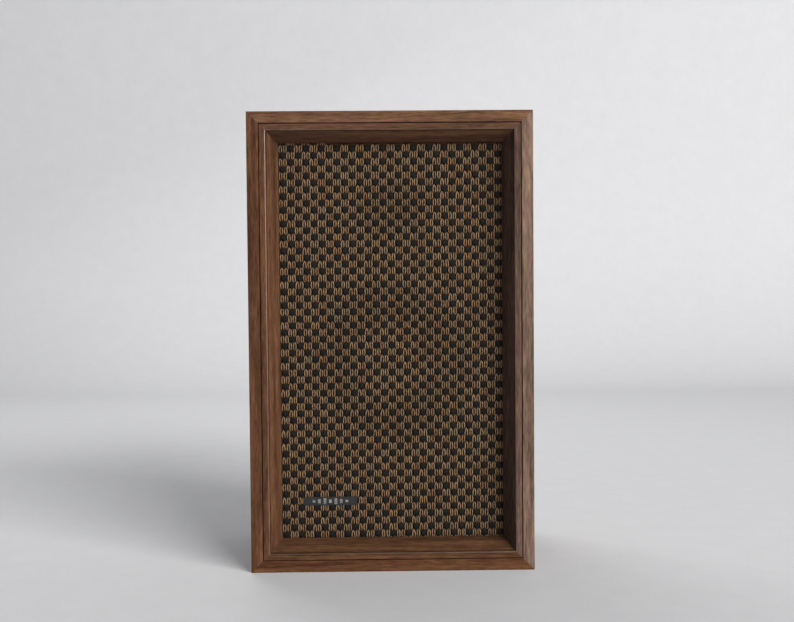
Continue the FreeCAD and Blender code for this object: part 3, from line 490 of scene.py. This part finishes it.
def strand(x, z, half_tall, gap, lean, splay, proud, rings):
    """The centre line of one yarn: out of the cloth, up over the front and back into it.

    It bows away from the block's middle by the gap, and less so at its ends.
    """
    points = []
    for ring in range(rings):
        along = -1 + 2 * ring / (rings - 1)
        across = gap * (1 - END_PINCH * along * along) - splay * along + lean * along
        y = CLOTH_FRONT + CLOTH_THICK - proud * (1 - along * along) ** 0.5
        points.append((x + across, y, z + along * half_tall))
    return points


def tubes(name, lines, widths, depth, shades):
    """Closed six-sided tubes along lines that run upwards, in one mesh, pointed at both ends.

    Each has its own half width and material number. Their depth is a share of their width.
    """
    sides = 6
    lines = np.array(lines)
    count, rings, _ = lines.shape
    angles = np.arange(sides) * 2 * math.pi / sides
    ring = np.stack([np.cos(angles), np.sin(angles) * depth, np.zeros(sides)], axis=1)
    body = lines[:, 1:-1, None, :] + ring[None, None] * np.array(widths)[:, None, None, None]
    body = body.reshape(count, -1, 3)
    points = np.concatenate([body, lines[:, :1], lines[:, -1:]], axis=1)
    per_tube = points.shape[1]
    pattern = []
    for band in range(rings - 3):
        for side in range(sides):
            after = (side + 1) % sides
            low, high = band * sides, (band + 1) * sides
            pattern.append((low + side, low + after, high + after, high + side))
    last = (rings - 3) * sides
    for side in range(sides):
        after = (side + 1) % sides
        pattern.append((per_tube - 2, after, side))
        pattern.append((per_tube - 1, last + side, last + after))
    starts = range(0, count * per_tube, per_tube)
    faces = [tuple(start + corner for corner in face) for start in starts for face in pattern]
    mesh = bpy.data.meshes.new(name)
    mesh.from_pydata(points.reshape(-1, 3).tolist(), [], faces)
    mesh.polygons.foreach_set("material_index", np.repeat(shades, len(pattern)).astype(np.int32))
    mesh.update()
    return mesh


def distance_from(paint, centre):
    """How far a point is from an axis along Y."""
    middle = paint.add("Mapping", {}, {"Vector": paint.place, "Location": (-centre.x, 0, -centre.z)})
    flat = paint.add("VectorMath", {"operation": "MULTIPLY"}, {0: middle, 1: (1, 0, 1)})
    return paint.add("VectorMath", {"operation": "LENGTH"}, {0: flat}, 1)


# Radii and factors of the painted shade on the cloth over the tweeter, and over a ring about the woofer's
# middle.
TWEETER_SHADE_PATCH = (17 * MM, 25 * MM)
TWEETER_PAINTED_SHADE = 0.86
WOOFER_SHADE_RING_INSIDE = (18 * MM, 38 * MM)
WOOFER_SHADE_RING_OUTSIDE = (52 * MM, 64 * MM)
WOOFER_PAINTED_SHADE = 0.87


def painted_shade_over_drivers(paint, colour):
    """Painted shade: the cloth is made a little darker where a drive unit's dark hollow, and not the board,
    lies behind it.
    """
    from_tweeter = distance_from(paint, middle_of("tweeter_cone"))
    tweeter = paint.between(from_tweeter, *TWEETER_SHADE_PATCH, TWEETER_PAINTED_SHADE, 1.0)
    from_woofer = distance_from(paint, middle_of("woofer_cone"))
    inner = paint.between(from_woofer, *WOOFER_SHADE_RING_INSIDE, 0.0, 1.0)
    outer = paint.between(from_woofer, *WOOFER_SHADE_RING_OUTSIDE, 1.0, 0.0)
    woofer = paint.between(paint.math("MULTIPLY", inner, outer), 0, 1, 1.0, WOOFER_PAINTED_SHADE)
    return paint.mix(1.0, colour, paint.math("MULTIPLY", tweeter, woofer), "MULTIPLY")


def yarn(name, thread, fleck):
    """Twisted yarn: fine diagonal fibres over one dyed colour, darkened by painted shade over the drive
    units.
    """
    paint = Paint(name)
    twist = paint.add("Mapping", {}, {"Vector": paint.place, "Rotation": (0, math.radians(30), 0)})
    fibre_size = (0.9 * MM, 0.2 * MM, 0.12 * MM)
    fibre_scale = tuple(1 / size for size in fibre_size)
    fibres = paint.add("Mapping", {}, {"Vector": twist, "Scale": fibre_scale})
    lines = paint.noise(fibres, detail=2)
    broad = paint.noise(paint.stretched([1.7 * MM] * 3), detail=2)
    share = shared(paint, lines, 0.5, broad, 0.5)
    colour = painted_shade_over_drivers(paint, paint.ramp(share, (0.36, fleck), (0.6, thread)))
    paint.bump(lines, 0.05 * MM)
    return paint.surface(colour, 0.8, Specular_IOR_Level=0.2)


TAN_YARNS = [
    ("yarn_straw", srgb(137, 115, 90), srgb(76, 58, 39)),
    ("yarn_ochre", srgb(136, 110, 81), srgb(76, 54, 33)),
    ("yarn_fawn", srgb(135, 110, 90), srgb(76, 56, 40)),
    ("yarn_rust", srgb(130, 101, 78), srgb(70, 48, 31)),
    ("yarn_stone", srgb(128, 112, 90), srgb(70, 56, 42)),
]
BLACK_YARNS = [
    ("yarn_ink", srgb(16, 18, 19), srgb(8, 8, 9)),
    ("yarn_bottle", srgb(15, 20, 19), srgb(7, 9, 8)),
    ("yarn_slate", srgb(20, 21, 21), srgb(10, 10, 10)),
]
COMMON_YARNS = (0, 0, 0, 1, 1, 2, 2, 3, 4)

# The ranges of the yarns' random sizes, in mm. A gap is from the block's or the loop's middle to the yarn,
# and tall and width are half the yarn's own.
FLOAT_GAP = (1.02, 1.2)
FLOAT_SHIFT = (-0.08, 0.08)
FLOAT_LEAN = (-0.2, 0.2)
OUTER_FLOAT_TALL = (1.8, 2.2)
MIDDLE_FLOAT_TALL = (2.7, 3.0)
FLOAT_WIDTH = (0.54, 0.64)
FLOAT_PROUD = 0.85
FLOAT_RINGS = 7
LOOP_MIDDLE = (1.58, 1.74)
LEFT_LOOP_SPLAYS = (0.0, 0.12, 0.3, 0.45)
RIGHT_LOOP_SPLAY = (-0.08, 0.12)
LOOP_GAP = (0.8, 1.02)
LOOP_LEAN = (-0.16, 0.16)
LOOP_TALL = (2.9, 3.3)
LOOP_PROUD = (0.75, 1.0)
LOOP_WIDTH = (0.38, 0.48)
LOOP_RINGS = 6


def black_block(draw, x, z):
    """Three upright floats, the outer two shorter, each as (line, half width, colour number)."""
    colour = draw.randrange(len(BLACK_YARNS))
    for side in (-1, 0, 1):
        gap = (side * draw.uniform(*FLOAT_GAP) + draw.uniform(*FLOAT_SHIFT)) * MM
        lean = draw.uniform(*FLOAT_LEAN) * MM
        tall = draw.uniform(*(OUTER_FLOAT_TALL if side else MIDDLE_FLOAT_TALL)) * MM
        line = strand(x, z, tall, gap, lean, 0, FLOAT_PROUD * MM, FLOAT_RINGS)
        yield line, draw.uniform(*FLOAT_WIDTH) * MM, colour


def tan_block(draw, x, z):
    """Two loops of two yarns each, the left one often open at its foot, in the same form."""
    for loop in (-1, 1):
        middle = x + loop * draw.uniform(*LOOP_MIDDLE) * MM
        splay = (draw.choice(LEFT_LOOP_SPLAYS) if loop < 0 else draw.uniform(*RIGHT_LOOP_SPLAY)) * MM
        colour = draw.choice(COMMON_YARNS)
        for side in (-1, 1):
            gap = side * draw.uniform(*LOOP_GAP) * MM
            lean = draw.uniform(*LOOP_LEAN) * MM
            tall = draw.uniform(*LOOP_TALL) * MM
            proud = draw.uniform(*LOOP_PROUD) * MM
            line = strand(middle, z, tall, gap, lean, side * splay, proud, LOOP_RINGS)
            yield line, draw.uniform(*LOOP_WIDTH) * MM, colour


def weave():
    """Blocks of tan loops and blocks of black floats, alternating like a chessboard."""
    draw = random.Random(7)
    tan_yarns = []
    black_yarns = []
    for x, z, is_black in cloth_cells():
        if is_black:
            black_yarns += black_block(draw, x, z)
        else:
            tan_yarns += tan_block(draw, x, z)
    pieces = []
    for name, flatness, strands, colours in (
        ("tan_loops", 0.8, tan_yarns, TAN_YARNS),
        ("black_floats", 0.6, black_yarns, BLACK_YARNS),
    ):
        lines, widths, numbers = zip(*strands)
        piece = finish_mesh(f"grille_cloth_{name}", tubes(name, lines, widths, flatness, numbers), "grille")
        for yarn_name, thread, fleck in colours:
            piece.data.materials.append(yarn(yarn_name, thread, fleck))
        pieces.append(piece)
    return pieces


def cloth_ground():
    """The open ground weave behind the floats: brown under the loops, darker elsewhere, darkened in part as
    painted shade.
    """
    paint = Paint("cloth_ground")
    block = (COLUMN_PITCH, 1.0, ROW_PITCH)
    # The ground's colours are partly its threads' own and partly painted shade for the deep gaps between the
    # yarns; the cloth is darker again over the drive units as painted shade.
    ground_and_shade_under_floats = srgb(34, 23, 13)
    ground_and_shade_under_loops = srgb(57, 39, 21)
    offset = (-FIRST_COLUMN / COLUMN_PITCH + 0.5, 0, -FIRST_ROW / ROW_PITCH + 0.5)
    cells = paint.add(
        "TexChecker",
        {},
        {
            "Vector": paint.stretched(block, offset),
            "Color1": ground_and_shade_under_floats,
            "Color2": ground_and_shade_under_loops,
            "Scale": 1.0,
        },
    )
    threads = paint.noise(paint.stretched((0.35 * MM, 0.35 * MM, 1.5 * MM)), detail=2)
    colour = paint.mix(1.0, cells, paint.between(threads, 0.3, 0.7, 0.6, 1.3), "MULTIPLY")
    paint.bump(threads, 0.2 * MM)
    return paint.surface(painted_shade_over_drivers(paint, colour), 0.9, Specular_IOR_Level=0.1)


def grille_cloth():
    """One sheet stretched over the board, wrapped round its edges and turned in behind as a hem."""
    low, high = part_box("grille_cloth")
    front = low.y + CLOTH_THICK
    rear = high.y
    columns, rows = SHEET_GRID
    xs = np.linspace(low.x, high.x, columns + 1)
    zs = np.linspace(low.z, high.z, rows + 1)
    points = [Vector((x, front, z)) for z in zs for x in xs]
    wide = columns + 1
    faces = []
    for row in range(rows):
        for column in range(columns):
            first = row * wide + column
            faces.append((first, first + 1, first + wide + 1, first + wide))
    rim = list(range(wide))
    rim += [row * wide + columns for row in range(1, rows + 1)]
    rim += [rows * wide + column for column in range(columns - 1, -1, -1)]
    rim += [row * wide for row in range(rows - 1, 0, -1)]
    inner_low = (low.x + HEM, low.z + HEM)
    inner_high = (high.x - HEM, high.z - HEM)
    edges = [rim]
    for hem in (False, True):
        start = len(points)
        for index in rim:
            point = points[index]
            x, z = point.x, point.z
            if hem:
                x = min(max(x, inner_low[0]), inner_high[0])
                z = min(max(z, inner_low[1]), inner_high[1])
            points.append(Vector((x, rear, z)))
        edges.append(list(range(start, start + len(rim))))
    for outer, inner in zip(edges, edges[1:]):
        for k in range(len(rim)):
            after = (k + 1) % len(rim)
            faces.append((outer[after], outer[k], inner[k], inner[after]))
    mesh = mesh_from("grille_cloth_ground", points, faces)
    work = bmesh.new()
    work.from_mesh(mesh)
    bmesh.ops.remove_doubles(work, verts=work.verts, dist=0.01 * MM)
    bmesh.ops.dissolve_degenerate(work, edges=work.edges, dist=0.01 * MM)
    mesh = bmesh_to_mesh("grille_cloth_ground", work)
    sheet = finish_mesh("grille_cloth_ground", mesh, "grille", "grille_cloth")
    corner = sheet.modifiers.new("soft_folds", "BEVEL")
    corner.width = 0.7 * MM
    corner.segments = 2
    corner.limit_method = "ANGLE"
    corner.angle_limit = math.radians(50)
    wall = sheet.modifiers.new("cloth_thickness", "SOLIDIFY")
    wall.thickness = CLOTH_THICK
    wall.offset = -1
    wear(sheet, cloth_ground())
    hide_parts("grille_cloth")
    loops, floats = weave()


grille_cloth()


# ---------------------------------------------------------------- wooden pieces

# The axis of each side's grain, then the average colours of the boards, their front edges and the grille
# frame's mouldings.
# The edges and mouldings hold painted light and shade by side: the right ones lighter and greyer as a
# painted sheen, the top ones lighter, the left and bottom ones darker.
LENGTHWAYS = {"left": 2, "right": 2, "top": 0, "bottom": 0}
BOARD_COLOURS = {
    "left": srgb(82, 54, 37),
    "right": srgb(86, 59, 43),
    "top": srgb(86, 59, 41),
    "bottom": srgb(82, 53, 36),
}
EDGE_COLOURS_PAINTED_LIGHT = {
    "left": srgb(82, 56, 41),
    "right": srgb(104, 86, 75),
    "top": srgb(94, 69, 53),
    "bottom": srgb(83, 56, 39),
}
MOULDING_COLOURS_PAINTED_LIGHT = {
    "left": srgb(82, 57, 41),
    "right": srgb(82, 65, 57),
    "top": srgb(87, 63, 49),
    "bottom": srgb(76, 53, 37),
}
# The depths between which the bead of the grille frame is rubbed.
ARRIS = (FRONT + 0.06 * MM, FRONT + 1.1 * MM)
for number, (side, axis) in enumerate(LENGTHWAYS.items()):
    case_wood = walnut(f"walnut_case_{side}", axis, number + 1, BOARD_COLOURS[side], EDGE_COLOURS_PAINTED_LIGHT[side])
    wear(nodes[f"cabinet_{side}"], case_wood)
    # The moulding's tone carries the painted light and shade of its side.
    tone = MOULDING_COLOURS_PAINTED_LIGHT[side]
    moulding_wood = walnut(f"walnut_moulding_{side}", axis, number + 11, tone, worn_arris=ARRIS)
    wear(nodes[f"moulding_{side}"], moulding_wood)
    for place in ("front", "rear"):
        wear(nodes[f"{place}_batten_{side}"], pine(f"pine_{place}_{side}", axis))

wear(nodes["front_baffle"], chipboard("baffle_chipboard", srgb(26, 23, 20), srgb(58, 48, 38)))
grille_hardboard = fibrous("grille_hardboard", srgb(62, 44, 30), srgb(98, 74, 52), 0.5 * MM, 0.8, 0.05 * MM)
back_hardboard = fibrous("back_hardboard", srgb(74, 50, 34), srgb(118, 86, 60), 0.5 * MM, 0.72, 0.05 * MM)
wear(nodes["grille_board"], grille_hardboard)
wear(nodes["back_panel"], back_hardboard)


# ---------------------------------------------------------------- badge

badge_enamel = mottled("badge_enamel", srgb(9, 10, 11), srgb(17, 18, 20), 0.6 * MM, 0.5, 0.01 * MM)
badge_silver = brushed_metal("badge_silver", srgb(130, 130, 128), srgb(178, 178, 176), 0, 0.38)
wear(nodes["badge_plate"], badge_enamel)
wear(nodes["badge_bars"], badge_silver)


# ---------------------------------------------------------------- metal, plastic and card

steel = brushed_metal("zinc_steel", srgb(150, 150, 146), srgb(192, 192, 186), 0, 0.4)
black_steel = mottled("black_steel", srgb(22, 22, 23), srgb(40, 40, 41), 0.8 * MM, 0.45, 0.03 * MM)
plated = brushed_metal("plated_steel", srgb(160, 156, 140), srgb(196, 192, 172), 2, 0.38)
ferrite = mottled("ferrite", srgb(34, 35, 38), srgb(58, 58, 62), 0.7 * MM, 0.7, 0.06 * MM)
black_plastic = mottled("black_plastic", srgb(20, 20, 21), srgb(34, 34, 35), 0.5 * MM, 0.42, 0.02 * MM)
red_plastic = mottled("red_plastic", srgb(132, 16, 14), srgb(164, 26, 20), 0.5 * MM, 0.36, 0.02 * MM)
brass = brushed_metal("brass", srgb(176, 136, 62), srgb(216, 180, 100), 1, 0.35)
copper = brushed_metal("copper_wire", srgb(150, 74, 38), srgb(196, 110, 62), 0, 0.35, 0.2)
card = fibrous("gasket_card", srgb(52, 46, 40), srgb(84, 76, 66), 0.4 * MM, 0.85, 0.05 * MM)
film = mottled("capacitor_sleeve", srgb(150, 108, 22), srgb(186, 142, 40), 1.2 * MM, 0.35, 0.02 * MM)
insulation = mottled("lead_insulation", srgb(92, 20, 18), srgb(124, 34, 28), 0.9 * MM, 0.45, 0.02 * MM)
for name, material in {
    "moulding_brads": steel,
    "cloth_staples": steel,
    "terminal_contacts": brass,
    "grille_pegs": black_plastic,
    "peg_sockets": black_plastic,
    "crossover_capacitor": film,
    "capacitor_strap": steel,
    "woofer_leads": insulation,
    "tweeter_leads": insulation,
}.items():
    wear(nodes[name], material)
for unit in ("woofer", "tweeter"):
    for part, material in {
        "frame": black_steel,
        "gasket": card,
        "voice_coil": copper,
        "top_plate": plated,
        "magnet": ferrite,
        "yoke": plated,
        "solder_tags": brass,
    }.items():
        wear(nodes[f"{unit}_{part}"], material)
    cone_centre = middle_of(f"{unit}_cone")
    paper = ringed_paper(f"{unit}_paper", cone_centre, srgb(30, 29, 28), srgb(62, 60, 56), 3.2 * MM)
    wear(nodes[f"{unit}_cone"], paper)
    cap_paper = ringed_paper(f"{unit}_cap_paper", cone_centre, srgb(24, 23, 22), srgb(48, 46, 44), 1.1 * MM)
    wear(nodes[f"{unit}_dust_cap"], cap_paper)


# ---------------------------------------------------------------- screws


def joined(name, mesh, places):
    """One mesh with a copy of a mesh at each place, a 4 by 4 matrix."""
    work = bmesh.new()
    for place in places:
        start = len(work.verts)
        work.from_mesh(mesh)
        work.verts.ensure_lookup_table()
        bmesh.ops.transform(work, matrix=place, verts=work.verts[start:])
    return bmesh_to_mesh(name, work)


def cut(solid, cutter):
    """The mesh of one object with another taken out of it. Both objects are used up."""
    bpy.context.view_layer.update()
    taking = solid.modifiers.new("cut", "BOOLEAN")
    taking.object = cutter
    taking.solver = "EXACT"
    graph = bpy.context.evaluated_depsgraph_get()
    mesh = bpy.data.meshes.new_from_object(solid.evaluated_get(graph))
    bpy.data.objects.remove(solid)
    bpy.data.objects.remove(cutter)
    return mesh


def loose(name, mesh):
    """A passing object for a mesh that something will be cut from."""
    made = bpy.data.objects.new(name, mesh)
    bpy.context.scene.collection.objects.link(made)
    return made


def cross_cutter(half_long, half_wide, top, bottom):
    """A plus-shaped plug along Y that narrows towards its bottom."""
    corner = [(half_long, half_wide), (half_wide, half_wide), (half_wide, half_long)]
    outline = []
    for quarter in range(4):
        turn = Matrix.Rotation(quarter * math.pi / 2, 2)
        outline += [turn @ Vector(point) for point in corner]
    levels = ((bottom, 0.45), (top, 1.15))
    points = [(point.x * scale, y, point.y * scale) for y, scale in levels for point in outline]
    count = len(outline)
    faces = [tuple(range(count)), tuple(range(2 * count - 1, count - 1, -1))]
    faces += [(k, k + count, (k + 1) % count + count, (k + 1) % count) for k in range(count)]
    work = bmesh.new()
    work.from_mesh(mesh_from("cross_cutter", points, faces))
    return bmesh_to_mesh("cross_cutter", work)


def screw_mesh(radius, head, length):
    """A pan-head wood screw along Y with a cross recess. Its head is towards +Y, with its underside at 0."""
    profile = [
        (0, head),
        (radius * 0.4, head * 0.99),
        (radius * 0.72, head * 0.88),
        (radius * 0.92, head * 0.6),
        (radius, head * 0.22),
        (radius * 0.985, 0),
        (radius * 0.5, 0),
        (radius * 0.5, -length + radius * 0.5),
        (0, -length),
    ]
    solid = revolved("screw_blank", profile, Vector((0, 0, 0)), None, None, 40)
    half_long = radius * 0.52
    half_wide = radius * 0.13
    cutter = loose("screw_cutter", cross_cutter(half_long, half_wide, top=head * 1.3, bottom=head * 0.3))
    return cut(solid, cutter)


def screws(node, slot, material, outwards):
    """Screws with cross recesses in place of a CAD node's plain ones. Each is turned its own way."""
    draw = random.Random(len(node))
    places = []
    for low, high in boxes_of(node):
        radius = (high.x - low.x) / 2
        head = radius / 2
        seat = high.y - head if outwards > 0 else low.y + head
        middle = Vector(((low.x + high.x) / 2, seat, (low.z + high.z) / 2))
        spin = Matrix.Rotation(draw.uniform(0, math.pi / 2), 4, "Y")
        face = Matrix.Rotation(0 if outwards > 0 else math.pi, 4, "Z")
        places.append(Matrix.Translation(middle) @ face @ spin)
        length = high.y - low.y - head
    mesh = joined(f"{node}_set", screw_mesh(radius, head, length), places)
    made = finish_mesh(f"{node}_set", mesh, nodes[node]["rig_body"], slot, sharp_degrees=30)
    wear(made, material)
    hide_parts(node)


for node, slot, material, outwards in (
    ("back_panel_screws", "zinc_steel", steel, 1),
    ("terminal_screws", "zinc_steel", steel, 1),
    ("woofer_screws", "black_screws", black_steel, -1),
    ("tweeter_screws", "black_screws", black_steel, -1),
):
    screws(node, slot, material, outwards)


# ---------------------------------------------------------------- soft edges and spider

LIP = 4 * MM
GLUE_SLOPE = 0.42
PLEAT_STEPS = 12


def ribbon(line, thick):
    """A closed profile of even thickness about a line of (radius, y) points."""
    line = np.array(line)
    along = np.gradient(line, axis=0)
    along /= np.linalg.norm(along, axis=1)[:, None]
    across = np.stack([-along[:, 1], along[:, 0]], axis=1) * thick / 2
    return [tuple(point) for point in np.concatenate([line + across, (line - across)[::-1]])]


def pleated(start, end, pleats, ripple):
    """A line from one (radius, y) point to another with rounded pleats that fade at both ends."""
    steps = pleats * PLEAT_STEPS
    line = []
    for step in range(steps + 1):
        share = step / steps
        radius = start[0] + (end[0] - start[0]) * share
        y = start[1] + (end[1] - start[1]) * share
        fade = min(1.0, 4 * share, 4 * (1 - share))
        line.append((radius, y - ripple * fade * math.sin(2 * math.pi * pleats * share)))
    return line


def soft_edge(unit, thick, pleats, ripple, glue):
    """The pleated cloth edge, from its lip under the gasket to the strip glued on the cone's rim."""
    low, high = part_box(f"{unit}_surround")
    cone_low, cone_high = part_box(f"{unit}_cone")
    centre = (low + high) / 2
    outer = (high.x - low.x) / 2
    rim = (cone_high.x - cone_low.x) / 2
    lip_y = low.y + thick / 2
    rim_y = cone_low.y
    line = [(outer, lip_y), (outer - LIP * 0.5, lip_y)]
    line += pleated((outer - LIP, lip_y), (rim, rim_y), pleats, ripple)
    line += [(rim - glue, rim_y + glue * GLUE_SLOPE)]
    made = revolved(f"{unit}_surround_cloth", ribbon(line, thick), centre, None, "surround_cloth")
    wear(made, surround_cloth(f"{unit}_surround_weave"))
    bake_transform(made)
    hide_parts(f"{unit}_surround")


def surround_cloth(name):
    """Doped cotton: a fine plain weave sealed with a dark, slightly tacky coat."""
    paint = Paint(name)
    across = paint.noise(paint.stretched((0.5 * MM, 2 * MM, 0.2 * MM)), detail=1)
    along = paint.noise(paint.stretched((0.2 * MM, 2 * MM, 0.5 * MM)), detail=1)
    threads = paint.math("MAXIMUM", across, along)
    colour = paint.ramp(threads, (0.4, srgb(16, 16, 17)), (0.7, srgb(38, 36, 35)))
    paint.bump(threads, 0.08 * MM)
    return paint.surface(colour, paint.between(across, 0.3, 0.7, 0.5, 0.65))


def spider_disc():
    """The corrugated disc that centres the woofer's coil, cupped forwards to its neck."""
    low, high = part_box("woofer_spider")
    coil_low, coil_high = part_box("woofer_voice_coil")
    centre = (low + high) / 2
    thick = 0.6 * MM
    winding = 0.5 * MM
    cup = 2.4 * MM
    collar = 1 * MM
    outer = (high.x - low.x) / 2
    neck = (coil_high.x - coil_low.x) / 2 - winding
    seat = high.y - thick / 2
    line = [(outer, seat), (outer - LIP, seat)]
    line += pleated((outer - LIP * 1.2, seat), (neck + collar, seat - cup), pleats=6, ripple=0.6 * MM)
    line += [(neck, seat - cup)]
    made = revolved("woofer_spider_cloth", ribbon(line, thick), centre, None, "surround_cloth")
    ochre = fibrous("spider_cloth", srgb(140, 104, 50), srgb(182, 144, 82), 0.3 * MM, 0.8, 0.05 * MM)
    wear(made, ochre)
    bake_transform(made)
    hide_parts("woofer_spider")


soft_edge("woofer", thick=0.6 * MM, pleats=3, ripple=0.7 * MM, glue=2.5 * MM)
soft_edge("tweeter", thick=0.45 * MM, pleats=1, ripple=0.25 * MM, glue=1.2 * MM)
spider_disc()


# ---------------------------------------------------------------- wadding


def wadding():
    """A soft pad of fibre behind the tweeter, lumpy, with its corners rounded off and its rim drawn in."""
    low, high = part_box("damping_wadding")
    middle = (low + high) / 2
    half = (high - low) / 2
    lump_size = 16 * MM
    tuft_size = 6 * MM
    work = bmesh.new()
    bmesh.ops.create_cube(work, size=2)
    bmesh.ops.subdivide_edges(work, edges=work.edges, cuts=23, use_grid_fill=True)
    for vertex in work.verts:
        share = vertex.co.copy()
        inset = 0.0
        for axis in range(3):
            others = [abs(share[other]) for other in range(3) if other != axis]
            inset = max(inset, min(others) ** 6 * abs(share[axis]) ** 6)
        spot = Vector(share[axis] * half[axis] for axis in range(3))
        lump = noise.noise(spot / lump_size) + 0.4 * noise.noise(spot / tuft_size)
        shrink = 0.92 - 0.1 * inset + 0.05 * lump
        edge_pull = 1 - 0.12 * (abs(share.x) ** 8 + abs(share.z) ** 8) / 2
        spread = shrink + 0.02
        flattened = spot.y * shrink * edge_pull * 0.96
        vertex.co = middle + Vector((spot.x * spread, flattened, spot.z * spread))
    mesh = bmesh_to_mesh("damping_wadding_pad", work)
    pad = finish_mesh("damping_wadding_pad", mesh, "cabinet", "wadding", sharp_degrees=180)
    wool = fibrous("wadding_fibre", srgb(176, 172, 160), srgb(214, 210, 200), 0.9 * MM, 0.95, 0.5 * MM)
    wear(pad, wool)
    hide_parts("damping_wadding")


wadding()


# ---------------------------------------------------------------- terminals


def bar_set(name, boxes, body, slot, material, rounding):
    """Small bars, given as (lowest, highest) corners, with rounded edges, in one piece."""
    work = bmesh.new()
    for low, high in boxes:
        middle = (low + high) / 2
        size = high - low
        place = Matrix.Translation(middle) @ Matrix.Diagonal((*size, 1))
        bmesh.ops.create_cube(work, size=1, matrix=place)
    bmesh.ops.bevel(work, geom=work.edges[:], offset=rounding, segments=2, affect="EDGES", profile=0.6)
    made = finish_mesh(name, bmesh_to_mesh(name, work), body, slot, sharp_degrees=50)
    wear(made, material)
    return made


def terminals():
    """The moulded block with its two levers, their grip ribs, and raised plus and minus signs."""
    block = softened("terminal_housing", 0.35 * MM, "black_plastic")
    wear(block, black_plastic)
    tab_lift = 2 * MM
    tab_thick = 3.2 * MM
    inset = 2.2 * MM
    first_rib = 1.0 * MM
    rib_pitch = 1.5 * MM
    rib_half = 0.35 * MM
    rib_tall = 0.35 * MM
    sunk = 0.1 * MM
    for colour, plastic in (("red", red_plastic), ("black", black_plastic)):
        slot = f"{colour}_plastic"
        lever = softened(f"terminal_lever_{colour}", 0.25 * MM, slot)
        wear(lever, plastic)
        low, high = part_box(f"terminal_lever_{colour}")
        tab_top = low.z + tab_lift + tab_thick
        ribs = []
        for step in range(3):
            y = high.y - first_rib - step * rib_pitch
            bottom = Vector((low.x + inset, y - rib_half, tab_top - sunk))
            top = Vector((high.x - inset, y + rib_half, tab_top + rib_tall))
            ribs.append((bottom, top))
        bar_set(f"terminal_lever_{colour}_ribs", ribs, f"lever_{colour}", slot, plastic, 0.12 * MM)
    low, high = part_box("terminal_housing")
    red_low, red_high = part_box("terminal_lever_red")
    x = (red_low.x + red_high.x) / 2
    mark_height = 6.5 * MM
    z = low.z + mark_height
    arm = 1.9 * MM
    half = 0.35 * MM
    raised = 0.3 * MM
    face = high.y

    def mark(x, half_wide, half_tall):
        """The two corners of a flat bar on the block's face."""
        return (
            Vector((x - half_wide, face - sunk, z - half_tall)),
            Vector((x + half_wide, face + raised, z + half_tall)),
        )

    marks = [mark(x, arm, half), mark(x, half, arm), mark(-x, arm, half)]
    white = mottled("mark_paint", srgb(200, 200, 194), srgb(222, 222, 216), 0.6 * MM, 0.5, 0.01 * MM)
    bar_set("terminal_marks", marks, "cabinet", "black_plastic", white, 0.08 * MM)


terminals()


# ---------------------------------------------------------------- stage, light and camera


def stage():
    """A pale floor that curves up into a pale wall well behind, in metres."""
    start = -4.0
    bend = 1.1
    radius = 0.5
    top = 3.0
    half_wide = 9.0
    steps = 16
    profile = [(start, 0.0), (bend, 0.0)]
    for step in range(1, steps + 1):
        angle = step / steps * math.pi / 2
        profile.append((bend + radius * math.sin(angle), radius * (1 - math.cos(angle))))
    profile.append((bend + radius, top))
    points = [(side * half_wide, y, z) for y, z in profile for side in (-1, 1)]
    faces = [(2 * k, 2 * k + 1, 2 * k + 3, 2 * k + 2) for k in range(len(profile) - 1)]
    floor = finish_mesh("studio_floor", mesh_from("studio_floor", points, faces), None)
    grey = srgb(192, 193, 196)
    paler = srgb(196, 197, 200)
    wear(floor, mottled("studio_paper", grey, paler, 3 * MM, 0.9, 0.0, Specular_IOR_Level=0.0))


def area_light(name, azimuth, elevation, distance, size, power, colour):
    """A soft light of a (width, height), aimed at the speaker's middle.

    Azimuth 0 is in front of the speaker and 90 is on its right as seen from the front.
    """
    around = math.radians(azimuth)
    up = math.radians(elevation)
    away = Vector((math.sin(around) * math.cos(up), -math.cos(around) * math.cos(up), math.sin(up)))
    middle = (cad_box[0] + cad_box[1]) / 2
    data = bpy.data.lights.new(name, "AREA")
    data.shape = "RECTANGLE"
    data.size, data.size_y = size
    data.energy = power
    data.color = colour
    lamp = bpy.data.objects.new(name, data)
    lamp.location = middle + away * distance
    lamp.rotation_euler = away.to_track_quat("Z", "Y").to_euler()
    bpy.context.scene.collection.objects.link(lamp)


def world_light(strength):
    """Even, faintly blue light from all round."""
    world = bpy.data.worlds.new("soft_daylight")
    world.use_nodes = True
    background = world.node_tree.nodes["Background"]
    background.inputs["Color"].default_value = srgb(224, 227, 234)
    background.inputs["Strength"].default_value = strength
    bpy.context.scene.world = world


EYE = Vector((-8.1, -851.9, 215.3)) * MM
YAW = math.radians(-0.886)
PITCH = math.radians(-2.019)
ROLL = math.radians(-0.465)


def camera():
    """A camera in front, at about two thirds of the speaker's height, that looks slightly down."""
    data = bpy.data.cameras.new("camera")
    data.lens = 50
    data.sensor_width = 36
    data.clip_start = 0.05
    data.clip_end = 20
    eye = bpy.data.objects.new("camera", data)
    upright = Matrix.Rotation(math.pi / 2 + PITCH, 4, "X")
    turned = Matrix.Rotation(YAW, 4, "Z") @ upright @ Matrix.Rotation(ROLL, 4, "Z")
    eye.matrix_world = Matrix.Translation(EYE) @ turned
    bpy.context.scene.collection.objects.link(eye)
    bpy.context.scene.camera = eye


stage()
world_light(0.2)
area_light("window", 38, 22, distance=5.0, size=(3.4, 2.7), power=451, colour=(1.0, 0.98, 0.95))
area_light("rear_fill", 205, 45, distance=1.4, size=(0.8, 0.8), power=8, colour=(1.0, 0.99, 0.97))
camera()
bpy.context.scene.view_settings.view_transform = "Standard"
